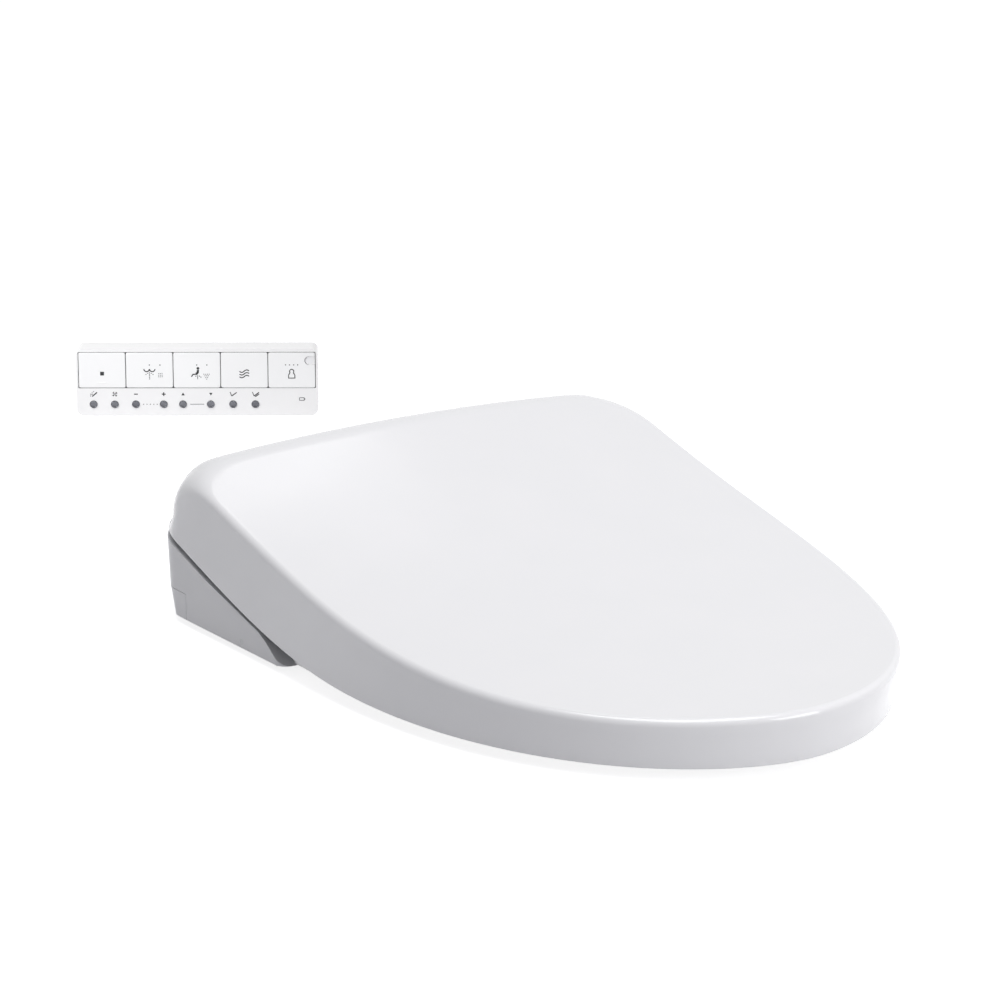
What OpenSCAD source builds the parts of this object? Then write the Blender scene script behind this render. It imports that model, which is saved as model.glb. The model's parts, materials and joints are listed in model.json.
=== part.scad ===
// Electric bidet seat: a soft-close lid and a heated seat ring turn on one rear hinge line
// over a flat base with a water heater, a sliding wash wand, a warm-air dryer and a
// deodoriser. A hand control with five large keys and eight small buttons stands beside it.
// Units are millimetres. +Z is up and +Y points to the rear. The origin lies midway between
// the two bowl bolts, on the plane of the bowl's rim.

/* [Lid] */
// Width of the lid
lid_w = 383; // [374:1:396]
// Length of the lid, front to rear
lid_l = 530; // [510:1:550]
// Distance from the bolt line back to the lid's rear edge
rear_reach = 60; // [58:1:66]
// Height of the lid's top at the rear edge
lid_rear_h = 133; // [131:0.5:135]
// Height of the lid's top at the front tip
lid_front_h = 44.2; // [43.2:0.2:50]
// Pull of the top's side curve behind the middle
lid_rear_pull = 78.8; // [76.8:0.2:80.8]
// Pull of the top's side curve in front of the middle
lid_front_pull = 36.4; // [35.4:0.2:42]
// Drop of the top at its sides, at the rear
lid_crown = 9.5; // [7:0.5:10]
// Thickness of the lid's shell
lid_wall = 3; // [2.6:0.1:3.4]
// Radius of the edge between the lid's top and its wall
lid_fillet = 5; // [5:0.5:7]
// Extra depth of the large rounding along the rear edge
rear_round_in = 36; // [30:0.5:36.5]
// Extra height of the large rounding along the rear edge
rear_round_h = 45; // [40:0.5:46]
// How soon the rounding grows in the rear corners
round_power = 1.6; // [1.2:0.1:1.6]
// Radius of the top's rear corners, seen from above, inside the rounding
top_corner_r = 43.5; // [40:0.5:46]
// Distance that the walls lean in at the rear
side_lean = 3.3; // [2.5:0.1:3.5]
// Distance that the walls flare out at the front tip
front_flare = 5.4; // [3:0.2:6]
// Radius of the lid's rear corners, seen from above
rear_corner_r = 32.5; // [31:0.5:35]
// Where the lid's sides are widest and start to round towards the front
wide_y = -131; // [-134:1:-124]
// Fullness of the plan shape at the sides
side_power = 1.82; // [1.74:0.02:1.9]
// Fullness of the plan shape at the front tip
tip_power = 2.62; // [2.54:0.02:2.84]
// Height of the lid's lower edge at the front
edge_front_z = 8; // [7:0.5:9]
// Rise of the lid's lower edge for each unit of length, beside the base
edge_slope = 0.33; // [0.32:0.005:0.34]
// Where the lid's lower edge starts to rise
edge_kink_y = -126; // [-130:1:-122]
// Length over which that edge bends softly
edge_soft = 45; // [36:1:48]
// Thickness of the lid's inner panel
liner_t = 1.6; // [1.4:0.1:2]

/* [Seat] */
// Gap between the lid's wall and the seat ring
seat_gap = 5; // [4:0.5:6]
// Width of the hole in the seat
hole_w = 216; // [206:1:222]
// Length of the hole in the seat
hole_l = 262; // [250:1:264]
// Where the middle of the hole lies
hole_y = -268; // [-270:1:-266]
// Height of the seat's underside over the bowl rim
seat_z = 8; // [7:0.5:9]
// Height of the joint between the seat's two halves
seat_split_z = 17; // [16:0.5:19]
// Height of the seat's top at the front tip
seat_front_h = 33; // [31:0.5:33]
// Extra height of the seat's top at its rear
seat_rise = 13; // [10:0.5:14]
// Wall thickness of the seat's two halves
seat_wall = 2.5; // [2.2:0.1:2.8]
// Thickness of the seat's heating foil
foil_t = 0.8; // [0.6:0.1:1]
// Radius of the rubber pads under the seat and the lid
pad_r = 8; // [7:0.5:9]

/* [Hinge] */
// Distance from the lid's rear edge to the hinge line
hinge_back = 16.6; // [16.4:0.2:17.2]
// Height of the hinge line
hinge_z = 84; // [83:0.5:85]
// Radius of the hinge pins
hinge_pin_r = 4.5; // [4:0.1:4.6]
// Radial running clearance of the hinge bores
hinge_fit = 0.06; // [0.04:0.01:0.08]
// Radius of the knuckles around the hinge line
knuckle_r = 8.5; // [8:0.1:8.8]
// Radius of the soft-close dampers
damper_r = 7.5; // [7:0.1:7.8]
// Width of each seat hinge arm
seat_arm_w = 28; // [24:1:29]
// Width of each lid hinge arm
lid_arm_w = 12; // [10:0.5:12.5]

/* [Base] */
// Step from the lid's side in to the base's side
base_step = 2; // [2:0.5:5]
// How far the raised housing reaches in front of the bolt line
base_front = 106; // [104:1:106]
// How far the base's toe reaches in front of the raised housing
toe_l = 10.5; // [9.5:0.5:10.5]
// Height of the casing's lower edge
skirt_z = 4.5; // [4:0.5:5]
// Shadow gap between the lid's lower edge and the base
shadow_gap = 4.4; // [4:0.2:5]
// Wall thickness of the base's casing
base_wall = 2.5; // [2.2:0.1:2.8]
// Thickness of the base plate
plate_t = 3; // [2.6:0.1:3.4]
// Height of the rubber feet and of the mounting bracket
foot_h = 2.5; // [2.2:0.1:3]
// Distance from the base's side in to the raised middle housing
housing_inset = 75.5; // [75:0.5:77.5]
// Gap between the housing's top and the inside of the lid
housing_gap = 7; // [6:0.5:8]
// Height of the small cover at the rear left corner
corner_cover_h = 21; // [19:0.5:22]
// Length of that cover along the side
corner_cover_l = 45.5; // [43:0.5:47]
// Width of the seams between casing pieces
seam = 0.4; // [0.3:0.05:0.5]

/* [Mounting] */
// Distance between the two bowl bolts
bolt_spacing = 140; // [135:1:165]
// Width of the bolt slots
bolt_slot_w = 10; // [9:0.5:11]
// Length of the bolt slots
bolt_slot_l = 34; // [28:1:36]
// Depth of the mounting bracket, front to rear
bracket_l = 66; // [60:1:70]
// Outer radius of the water inlet's thread
inlet_r = 10.4; // [10:0.1:10.5]
// Room for the hose's nut around that thread
nut_room = 3; // [2.5:0.1:3.2]

/* [Wand] */
// Slope of the wand below the horizontal
wand_tilt = 25; // [24:0.5:26]
// Radius of the wand
wand_r = 7; // [6.5:0.1:7]
// Length of the wand
wand_l = 116; // [112:1:118]
// How far the wand slides out
wand_travel = 85; // [70:1:86]
// Pitch radius of the wand's drive pinion
pinion_r = 8; // [8:1:8]
// Number of teeth on the pinion
pinion_teeth = 16; // [16:1:16]

/* [Dryer] */
// Radius of the dryer's impeller
impeller_r = 21; // [19:0.5:22]
// Number of impeller blades
impeller_blades = 18; // [14:1:20]
// Width of the dryer's outlet flap
flap_w = 38; // [34:1:40]

/* [Hand control] */
// Width of the hand control
remote_w = 200; // [196:1:210]
// Height of the hand control, standing on its long edge
remote_h = 57; // [56:1:60]
// Depth of the hand control
remote_d = 24; // [23:0.5:27]
// Corner radius of the hand control
remote_r = 6; // [5:0.5:7]
// Wall thickness of the hand control's case
remote_wall = 1.8; // [1.6:0.1:2]
// Distance from the row of large keys to each end of the case
key_side = 2; // [2:0.1:4]
// Height of the large keys
key_h = 30; // [29:0.2:30.4]
// Gap between neighbouring keys
key_gap = 0.6; // [0.5:0.05:0.8]
// Travel of the large keys
key_travel = 0.8; // [0.6:0.1:0.9]
// Radius of the small round buttons
button_r = 3; // [2.6:0.1:3.2]
// Height of the row of small buttons
button_z = 9.7; // [9:0.1:10.5]
// Travel of the small buttons
button_travel = 0.6; // [0.4:0.1:0.6]
// Where the hand control stands, left to right
remote_x = 95; // [90:5:120]
// Where the hand control stands, behind the bolt line
remote_y = 500; // [460:10:600]
// Turn of the hand control about the vertical
remote_turn = -33; // [-45:1:0]

/* [Hidden] */
$fn = 48;

half_w = lid_w / 2;
front_reach = lid_l - rear_reach;
hinge_y = rear_reach - hinge_back;
touch = 0.3;                // gap between neighbouring curved faces
loose = 0.4;                // gap around parts that slide
cut = 1;                    // how far a cutting body reaches past a face

// ---- Shape of the lid ------------------------------------------------------------------

function mix(a, b, t) = a + (b - a) * t;
function share_back(y) = (rear_reach - y) / lid_l;

// Height of the lid's top, from a cubic side curve and a crown across it
function side_curve(t) =
    lid_rear_h * pow(1 - t, 3) + 3 * lid_rear_pull * t * pow(1 - t, 2)
    + 3 * lid_front_pull * t * t * (1 - t) + lid_front_h * pow(t, 3);
function top_z(p) =
    side_curve(share_back(p.y)) - lid_crown * (1 - share_back(p.y)) * pow(p.x / half_w, 2);

// Height of the lid's lower edge: level in front, then a slope up beside the base
function edge_z(y) =
    edge_front_z + edge_slope * edge_soft * ln(1 + exp((y - edge_kink_y) / edge_soft));

// Right half of a plan outline, from the rear middle round the side to the front tip
corner_steps = 8;
side_steps = 9;
tip_steps = 15;
function half_outline(rear_steps, w, rear, corner, wide, front) = concat(
    [for (i = [0:rear_steps - 1]) [(w - corner) * i / rear_steps, rear]],
    [for (i = [0:corner_steps]) let (a = 90 - 90 * i / corner_steps)
        [w - corner + corner * cos(a), rear - corner + corner * sin(a)]],
    [for (i = [1:side_steps - 1]) [w, mix(rear - corner, wide, pow(i / side_steps, 1.3))]],
    [for (i = [0:tip_steps]) let (a = 90 * pow(i / tip_steps, 1.3))
        [w * pow(max(cos(a), 0), 2 / side_power), wide - (wide + front) * pow(sin(a), 2 / tip_power)]]
);
function mirrored(half) = concat(half,
    [for (i = [len(half) - 2:-1:1]) [-half[i].x, half[i].y]]);
rear_steps = 4;
lid_outline = mirrored(
    half_outline(rear_steps, half_w, rear_reach, rear_corner_r, wide_y, front_reach));
loop_n = len(lid_outline);

// Outward direction at each point of a closed outline that runs clockwise
function unit(v) = v / max(norm(v), 0.001);
function outward(loop) = [for (i = [0:len(loop) - 1])
    let (t = loop[(i + 1) % len(loop)] - loop[(i + len(loop) - 1) % len(loop)])
        unit([-t.y, t.x])];
function inset(loop, d) = let (n = outward(loop)) [for (i = [0:len(loop) - 1]) loop[i] - d * n[i]];

lid_normals = outward(lid_outline);
// How far the wall leans in at its top
function lean_at(y) = mix(-front_flare, side_lean, min(max(1 - share_back(y), 0), 1));
function lean(i) = lean_at(lid_outline[i].y);
// Outline where the rounding ends: beside the wall, but well inside it along the rear edge.
// In a rear corner its points lie on rays from the middle of its own arc.
top_rear = rear_reach - lid_fillet - rear_round_in - side_lean;
arc_y = top_rear - top_corner_r;
arc_x = half_w - lid_fillet - lean_at(arc_y) - top_corner_r;
top_outline = [for (i = [0:loop_n - 1])
    let (foot = lid_outline[i] - lean(i) * lid_normals[i])
    let (v = [abs(foot.x) - arc_x, foot.y - arc_y])
    let (on = top_corner_r * unit(v))
        v.y <= 0 ? foot - lid_fillet * lid_normals[i]
        : v.x <= 0 ? [foot.x, top_rear]
        : [sign(foot.x) * (arc_x + on.x), arc_y + on.y]];
// The further the rounding reaches in, the taller it is
function round_in(i) =
    norm(top_outline[i] - lid_outline[i] + lean(i) * lid_normals[i]) - lid_fillet;
function round_up(i) =
    lid_fillet + rear_round_h * pow(min(max(round_in(i) / rear_round_in, 0), 1), round_power);
// One ring of the lid's wall, d inside its outer face, at share t of the wall's height
function wall_ring(d, t) = [for (i = [0:loop_n - 1])
    let (foot = lid_outline[i] - d * lid_normals[i])
    let (p = foot - lean(i) * t * lid_normals[i])
        [p.x, p.y, mix(edge_z(foot.y), top_z(p) - round_up(i), t)]];
// One ring of the rounded edge, at angle a above the wall
function fillet_ring(d, a) = [for (i = [0:loop_n - 1])
    let (foot = lid_outline[i] - (d + lean(i)) * lid_normals[i])
    let (p = mix(foot, top_outline[i], 1 - cos(a)))
        [p.x, p.y, top_z(p) - round_up(i) + (round_up(i) - d) * sin(a)]];
// One ring of the top, shrunk towards the middle
mid_y = (rear_reach - front_reach) / 2;
function top_ring(d, k, drop) = [for (p = top_outline)
    let (q = [p.x * k, mix(mid_y, p.y, k)])
        [q.x, q.y, top_z(q) - drop]];

wall_shares = [0.5, 0];
fillet_angles = [90, 75, 60, 45, 30, 15, 0];
top_shares = [0.03, 0.2, 0.4, 0.6, 0.75, 0.88, 0.96];
function lid_side(d) = concat(
    [for (k = top_shares) top_ring(d, k, d)],
    [for (a = fillet_angles) fillet_ring(d, a)],
    [for (t = wall_shares) wall_ring(d, t)]
);
function reversed(list) = [for (i = [len(list) - 1:-1:0]) list[i]];

// Solid between rings of equal length: a tube, closed by a fan at each end
module loft(rings) {
    n = len(rings[0]);
    m = len(rings);
    centre_a = [for (k = [0:2]) (rings[0][0][k] + rings[0][floor(n / 2)][k]) / 2];
    centre_b = [for (k = [0:2]) (rings[m - 1][0][k] + rings[m - 1][floor(n / 2)][k]) / 2];
    points = concat([for (r = rings) for (p = r) p], [centre_a, centre_b]);
    sides = [for (j = [0:m - 2]) for (i = [0:n - 1])
        let (a = j * n + i, b = j * n + (i + 1) % n, c = a + n, d = b + n)
        each [[c, d, b], [c, b, a]]];
    ends = [for (i = [0:n - 1]) each [
        [i, (i + 1) % n, m * n],
        [(m - 1) * n + (i + 1) % n, (m - 1) * n + i, m * n + 1]]];
    polyhedron(points, concat(sides, ends), convexity = 8);
}

// Closed band: the rings of its section follow each other and the last meets the first
module band(rings) {
    n = len(rings[0]);
    m = len(rings);
    points = [for (r = rings) for (p = r) p];
    faces = [for (j = [0:m - 1]) for (i = [0:n - 1])
        let (a = j * n + i, b = j * n + (i + 1) % n)
        let (c = ((j + 1) % m) * n + i, d = ((j + 1) % m) * n + (i + 1) % n)
        each [[a, b, c], [b, d, c]]];
    polyhedron(points, faces, convexity = 8);
}

// ---- Small shared shapes ---------------------------------------------------------------

// Extrudes a side view, drawn as [y, z], along X from x0 over width w
module side_view(x0, w) {
    translate([x0, 0, 0])
        rotate([90, 0, 90])
        linear_extrude(w)
        children();
}

// Rounded rectangle round the middle of its box
module rounded_rect(w, h, r) {
    square([w - 2 * r, h], center = true);
    square([w, h - 2 * r], center = true);
    for (sx = [-1, 1], sy = [-1, 1])
        translate([sx * (w / 2 - r), sy * (h / 2 - r)])
            circle(r);
}

// Rod along X from x0 over length l, at [y, z]
module rod_x(x0, l, y, z, r) {
    translate([x0, y, z])
        rotate([0, 90, 0])
        cylinder(h = l, r = r);
}

// Rod between two points
module rod_between(a, b, r) {
    v = b - a;
    translate(a)
        rotate([0, acos(v.z / norm(v)), atan2(v.y, v.x)])
        cylinder(h = norm(v), r = r);
}

module both_sides() {
    children();
    mirror([1, 0, 0])
        children();
}

// ---- Base ------------------------------------------------------------------------------

base_half = half_w - base_step;
base_w = 2 * base_half;
housing_half = base_half - housing_inset;
housing_w = 2 * housing_half;
plate_top = foot_h + plate_t;
base_rear = rear_reach - 2;
base_rear_corner = 28;
base_front_corner = 9;
toe_front = base_front + toe_l;
rear_tuck = 10;                         // the rear face draws in towards the bowl
rear_tuck_z = 30;
sweep_r = norm([hinge_back, hinge_z - edge_z(rear_reach)]);
base_top_max = hinge_z - sweep_r - 1;
function base_top(y) = min(edge_z(y) - shadow_gap, base_top_max);
base_steps = 7;
toe_run = 31;                           // length over which the top falls to the toe
toe_lip = 0.3;
// Share of the fall that is left at each distance from the toe
toe_shares = [[21, 0.73], [16, 0.53], [11, 0.33], [6.5, 0.18], [3, 0.08], [0, 0]];
function base_side(d) = concat(
    [[-toe_front + d, foot_h - cut], [base_rear - rear_tuck - d, foot_h - cut],
     [base_rear - rear_tuck - d, foot_h], [base_rear - d, foot_h + rear_tuck_z],
     [base_rear - d, base_top_max - d]],
    [for (i = [base_steps:-1:0])
        let (y = mix(toe_run - toe_front, base_rear - 8, i / base_steps))
            [y, base_top(y) - d]],
    [for (t = toe_shares) [t[0] - toe_front + d,
        mix(skirt_z + toe_lip, base_top(toe_run - toe_front), t[1]) - d]]
);
housing_rear = hinge_y - 21;
function housing_top(y) = top_z([0, y]) - lid_wall - liner_t - housing_gap;
housing_steps = 4;
housing_front_r = 14;
function housing_side(d) = concat(
    [[-base_front + d, foot_h - cut], [housing_rear - d, foot_h - cut],
     [housing_rear - d, housing_top(housing_rear) - d]],
    [for (i = [housing_steps:-1:0])
        let (y = mix(housing_front_r - base_front, housing_rear, i / housing_steps))
        [y + (i == 0 ? d : 0), housing_top(y) - d]],
    [[-base_front + d, housing_top(housing_front_r - base_front) - housing_front_r]]
);

// Plan of the base: rounded corners, tighter in front
module base_plan(d) {
    r = base_rear_corner - d;
    f = base_front_corner - d;
    w = base_half - d;
    rear = base_rear - d;
    front = toe_front - d;
    translate([-w, f - front])
        square([2 * w, rear - r + front - f]);
    translate([r - w, 0])
        square([2 * (w - r), rear]);
    translate([f - w, -front])
        square([2 * (w - f), front]);
    for (s = [-1, 1]) {
        translate([s * (w - r), rear - r])
            circle(r);
        translate([s * (w - f), f - front])
            circle(f);
    }
}

// Outer body of the base, drawn in by d on every face but the underside
module base_body(d) {
    intersection() {
        union() {
            side_view(-base_half, base_w)
                polygon(base_side(d));
            side_view(d - housing_half, housing_w - 2 * d)
                polygon(housing_side(d));
        }
        translate([0, 0, skirt_z])
            linear_extrude(lid_rear_h)
            base_plan(d);
    }
}

corner_cover_y = base_rear - corner_cover_l;
corner_cover_w = 50;
// Block that parts the small corner cover from the casing, grown by g
module corner_block(g) {
    translate([-base_half - cut, corner_cover_y - g, foot_h - cut])
        cube([corner_cover_w + g, corner_cover_l + g + cut, corner_cover_h + g + cut]);
}

wand_tip_y = -92;
wand_tip_z = foot_h + 6;
mouth_half = wand_r + 4;
mouth_y = wand_tip_y + 12;
flap_x = 52;
flap_l = 20;
flap_y = -82;                           // hinge line of the dryer's flap
filter_y = -45;
filter_l = 42;
filter_z = plate_top + 2;
filter_h = 19;
filter_x = base_half - 57.5;
release_y = 14;
release_z = 17;
release_l = 20;
release_h = 12;
release_travel = 4;
inlet_x = 67.5 - base_half;
inlet_z = foot_h + 18;
gland_x = -40;
gland_r = 7;
inlet_gap = touch;
plug_y = -62;
plug_r = 2.2;
plug_z = skirt_z + 3.8;
ear_w = 14;
ear_x = housing_half - ear_w - 1;
ear_mid_w = 18;

// Ear that carries the hinge pin, reaching back from the housing
module hinge_ear(x0, w, bore) {
    difference() {
        side_view(x0, w) {
            translate([hinge_y, hinge_z])
                circle(knuckle_r);
            polygon([[housing_rear - base_wall, hinge_z - 4], [housing_rear, hinge_z - 4],
                [hinge_y, hinge_z - knuckle_r + 1], [hinge_y, hinge_z + knuckle_r],
                [housing_rear - base_wall, hinge_z + knuckle_r + 2]]);
        }
        rod_x(x0 - cut, w + 2 * cut, hinge_y, hinge_z, bore);
    }
}

module upper_casing() {
    color("whitesmoke") {
        difference() {
            base_body(0);
            base_body(base_wall);
            corner_block(seam);
            // way for the wand, under the front face
            translate([-mouth_half, -toe_front - cut, foot_h - cut])
                cube([2 * mouth_half, toe_l + base_wall + 2 * cut, 18 + cut]);
            // way for the filter and the release button, on the right
            translate([base_half - 3 * base_wall, filter_y - loose, filter_z - loose])
                cube([4 * base_wall, filter_l + 2 * loose, filter_h + 2 * loose]);
            translate([base_half - 3 * base_wall, release_y - release_l / 2 - loose,
                    release_z - release_h / 2 - loose])
                cube([4 * base_wall, release_l + 2 * loose, release_h + 2 * loose]);
            // holes for the water inlet and the cord gland in the rear face
            translate([inlet_x, 0, inlet_z])
                rotate([-90, 0, 0])
                cylinder(h = lid_l, r = inlet_r + nut_room);
            translate([gland_x, 0, inlet_z])
                rotate([-90, 0, 0])
                cylinder(h = lid_l, r = gland_r + inlet_gap);
            // seats for the small plugs low on each side
            both_sides()
                rod_x(base_half - 1.2, base_wall + cut, plug_y, plug_z, plug_r + touch / 3);
            // shaft holes of the dampers
            for (s = [-1, 1])
                translate([s * 60 - 3, housing_rear - base_wall - cut, hinge_z - 3])
                    cube([6, base_wall + 2 * cut, 6]);
        }
        hinge_ear(ear_x, ear_w, hinge_pin_r + hinge_fit);
        hinge_ear(-ear_x - ear_w, ear_w, hinge_pin_r + hinge_fit);
        hinge_ear(-ear_mid_w / 2, ear_mid_w, hinge_pin_r + hinge_fit);
    }
}

module corner_cover() {
    color("whitesmoke")
        intersection() {
            difference() {
                base_body(0);
                base_body(base_wall);
            }
            corner_block(0);
        }
}

module side_plugs() {
    color("gainsboro")
        both_sides()
            rod_x(base_half - 1.1, 1.1, plug_y, plug_z, plug_r);
}

plate_gap = base_wall + touch;
module base_plate() {
    color("lightgray")
        difference() {
            union() {
                intersection() {
                    translate([0, 0, foot_h])
                        linear_extrude(plate_t)
                        base_plan(plate_gap);
                    translate([-base_half, -base_front, foot_h])
                        cube([base_w, base_front + base_rear - rear_tuck - plate_gap, plate_t]);
                }
                // cradle walls that locate the heater tank
                for (y = [tank_y - tank_l / 2 - 4, tank_y + tank_l / 2 + 1])
                    translate([tank_x - tank_w / 2 + 8, y, foot_h])
                        cube([tank_w - 16, 3, plate_t + 9]);
            }
            // open floor under the wand and the dryer's flap
            translate([-mouth_half, -base_front - cut, foot_h - cut])
                cube([2 * mouth_half, base_front + cut + mouth_y, plate_t + 2 * cut]);
            translate([flap_x - loose, flap_y - flap_l - loose, foot_h - cut])
                cube([flap_w + 2 * loose, flap_l + 2 * loose + 2, plate_t + 2 * cut]);
            // room over the bolt heads
            for (s = [-1, 1])
                translate([s * bolt_spacing / 2, 0, foot_h - cut])
                    linear_extrude(plate_t + 2 * cut)
                    rounded_rect(bolt_slot_l + 14, bolt_slot_w + 14, 11.9);
            // drain hole under the tank
            translate([drain_x, drain_y, foot_h - cut])
                cylinder(h = plate_t + 2 * cut, r = drain_r + touch);
        }
}

bracket_w = bolt_spacing + bolt_slot_l + 24;
module mounting_bracket() {
    color("dimgray")
        difference() {
            linear_extrude(foot_h)
                rounded_rect(bracket_w, bracket_l, 8);
            for (s = [-1, 1])
                translate([s * bolt_spacing / 2, 0, -cut])
                    linear_extrude(foot_h + 2 * cut) {
                        square([bolt_slot_l - bolt_slot_w, bolt_slot_w], center = true);
                        for (e = [-1, 1])
                            translate([e * (bolt_slot_l - bolt_slot_w) / 2, 0])
                                circle(bolt_slot_w / 2);
                    }
        }
}

module base_feet() {
    color("darkgray")
        for (s = [-1, 1], y = [26 - base_front, base_rear - 33])
            translate([s * (base_half - 26), y, 0])
                cylinder(h = foot_h, r = 9);
}

// ---- Water -----------------------------------------------------------------------------

tank_x = -66;
tank_y = -50;
tank_w = 72;
tank_l = 78;
tank_h = 40;
drain_x = -66;
drain_y = -50;
drain_r = 6;
port_r = 4;
port_z = 9;
valve_x = 39.5 - base_half;
valve_y = -2;
valve_w = 34;
valve_h = 24;

module heater_tank() {
    color("silver")
        difference() {
            union() {
                translate([tank_x, tank_y, plate_top])
                    linear_extrude(tank_h)
                    rounded_rect(tank_w, tank_l, 10);
                translate([tank_x, tank_y, plate_top + tank_h])
                    linear_extrude(4)
                    rounded_rect(tank_w - 12, tank_l - 12, 8);
                // water ports: one to the valve, one to the wand
                rod_x(tank_x - tank_w / 2 - 6, 8, tank_y + 24, plate_top + port_z, port_r);
                rod_x(tank_x + tank_w / 2 - 2, 8, tank_y + 24, plate_top + 30, port_r);
            }
            // socket of the drain plug
            translate([drain_x, drain_y, plate_top - cut])
                cylinder(h = 9 + cut, r = drain_r - 2 + touch);
        }
}

module drain_plug() {
    color("dimgray") {
        translate([drain_x, drain_y, foot_h])
            cylinder(h = plate_t, r = drain_r);
        translate([drain_x, drain_y, plate_top])
            cylinder(h = 8, r = drain_r - 2);
    }
}

module solenoid_valve() {
    color("slategray") {
        translate([valve_x - valve_w / 2, valve_y - 14, plate_top])
            cube([valve_w, 30, valve_h - 8]);
        translate([valve_x, valve_y + 2, plate_top + valve_h - 8])
            cylinder(h = 9, r = 9);
        rod_x(valve_x + valve_w / 2, 6, valve_y - 6, plate_top + port_z, port_r);
    }
}

inlet_l = 24;
inlet_neck = 2;                         // plain neck between the thread and its hexagon
module inlet_connector() {
    color("goldenrod") {
        difference() {
            union() {
                translate([inlet_x, base_rear - rear_tuck - 12 + inlet_neck, inlet_z])
                    rotate([-90, 0, 0])
                    cylinder(h = inlet_l, r = inlet_r);
                translate([inlet_x, base_rear - rear_tuck - 13, inlet_z])
                    rotate([-90, 0, 0])
                    cylinder(h = inlet_neck + 2, r = inlet_r - 1);
            }
            translate([inlet_x, base_rear - rear_tuck, inlet_z])
                rotate([-90, 0, 0])
                cylinder(h = inlet_l, r = inlet_r - 3);
        }
        translate([inlet_x, base_rear - rear_tuck - 20, inlet_z])
            rotate([-90, 0, 0])
            cylinder(h = 8, r = inlet_r + 2, $fn = 6);
        translate([inlet_x - 5, base_rear - rear_tuck - 29, plate_top])
            cube([10, 9, inlet_z - plate_top + 4]);
    }
}

hose_r = 4;
elbow = 11;
// Hose through a list of points, with moulded square elbows
module hose(points) {
    last = len(points) - 2;
    for (i = [0:last]) {
        v = unit(points[i + 1] - points[i]);
        a = points[i] + (i > 0 ? (elbow / 2 - 1) * v : [0, 0, 0]);
        b = points[i + 1] - (i < last ? (elbow / 2 - 1) * v : [0, 0, 0]);
        rod_between(a, b, hose_r);
    }
    for (i = [1:last])
        translate(points[i])
            cube(elbow, center = true);
}

module water_hoses() {
    valve_out = [valve_x + valve_w / 2 + 6, valve_y - 6, plate_top + port_z];
    tank_in = [tank_x - tank_w / 2 - 6, tank_y + 24, plate_top + port_z];
    tank_out = [tank_x + tank_w / 2 + 6, tank_y + 24, plate_top + 30];
    inlet_in = [inlet_x - 5, base_rear - rear_tuck - 25, plate_top + 6];
    valve_in = [valve_x + 4, valve_y + 16, plate_top + 6];
    run = elbow / 2 + touch;
    color("lightsteelblue") {
        hose([valve_out, [valve_out.x + run, valve_out.y, valve_out.z],
            [valve_out.x + run, tank_in.y, tank_in.z], tank_in]);
        hose([tank_out, tank_out + [run, 0, 0], tank_out + [run, 30, 0]]);
        hose([inlet_in, [valve_in.x, inlet_in.y, inlet_in.z], valve_in]);
    }
}

// ---- Wand ------------------------------------------------------------------------------

// Places its children in the wand's own frame: +Y runs up and back along the wand
module in_wand_frame() {
    translate([0, wand_tip_y, wand_tip_z])
        rotate([wand_tilt, 0, 0])
        children();
}

guide_y = 14;
guide_w = 24;
guide_top = 3;
rack_w = 5;
tooth_pitch = 2 * PI * pinion_r / pinion_teeth;
tooth_h = 1.6;
rack_z = wand_r - 1.2;                  // pitch line of the rack, sunk into the wand
root_z = tooth_h / 2 + 0.25;
rack_y = 16;
rack_teeth = 31;
pinion_y = rack_y + 3.5 * tooth_pitch;
nozzle_l = 14;

module wand() {
    color("white")
        in_wand_frame() {
            difference() {
                translate([0, nozzle_l, 0])
                    rotate([-90, 0, 0])
                    cylinder(h = wand_l - nozzle_l, r = wand_r);
                translate([-rack_w / 2 - 0.5, rack_y - 1, rack_z - root_z])
                    cube([rack_w + 1, wand_l, wand_r]);
            }
            // rack in the slot along the top
            side_view(-rack_w / 2, rack_w)
                for (i = [0:rack_teeth - 1])
                    translate([rack_y + i * tooth_pitch, rack_z])
                        polygon([[-1.1, -root_z - 0.1], [1.1, -root_z - 0.1],
                            [0.35, tooth_h / 2], [-0.35, tooth_h / 2]]);
        }
}

module nozzle_head() {
    color("silver")
        in_wand_frame()
            difference() {
                rotate([-90, 0, 0])
                    cylinder(h = nozzle_l, r = wand_r);
                for (y = [4, 9])
                    translate([0, y, 0])
                        cylinder(h = wand_r + cut, r = 1.2);
            }
}

module wand_guide() {
    color("lightgray")
        in_wand_frame()
            difference() {
                translate([-guide_w / 2, guide_y, -wand_r - 2.4])
                    cube([guide_w, wand_l - guide_y + 2.5, wand_r + 2.4 + guide_top]);
                translate([0, guide_y - cut, 0])
                    rotate([-90, 0, 0])
                    cylinder(h = wand_l + 10, r = wand_r + touch);
                translate([-wand_r - touch, guide_y - cut, 0])
                    cube([2 * (wand_r + touch), wand_l + 10, wand_r]);
                // flat underside along the base plate
                rotate([-wand_tilt, 0, 0])
                    translate([-guide_w, -wand_l, plate_top - wand_tip_z - 40])
                    cube([2 * guide_w, 3 * wand_l, 40]);
            }
}

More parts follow.
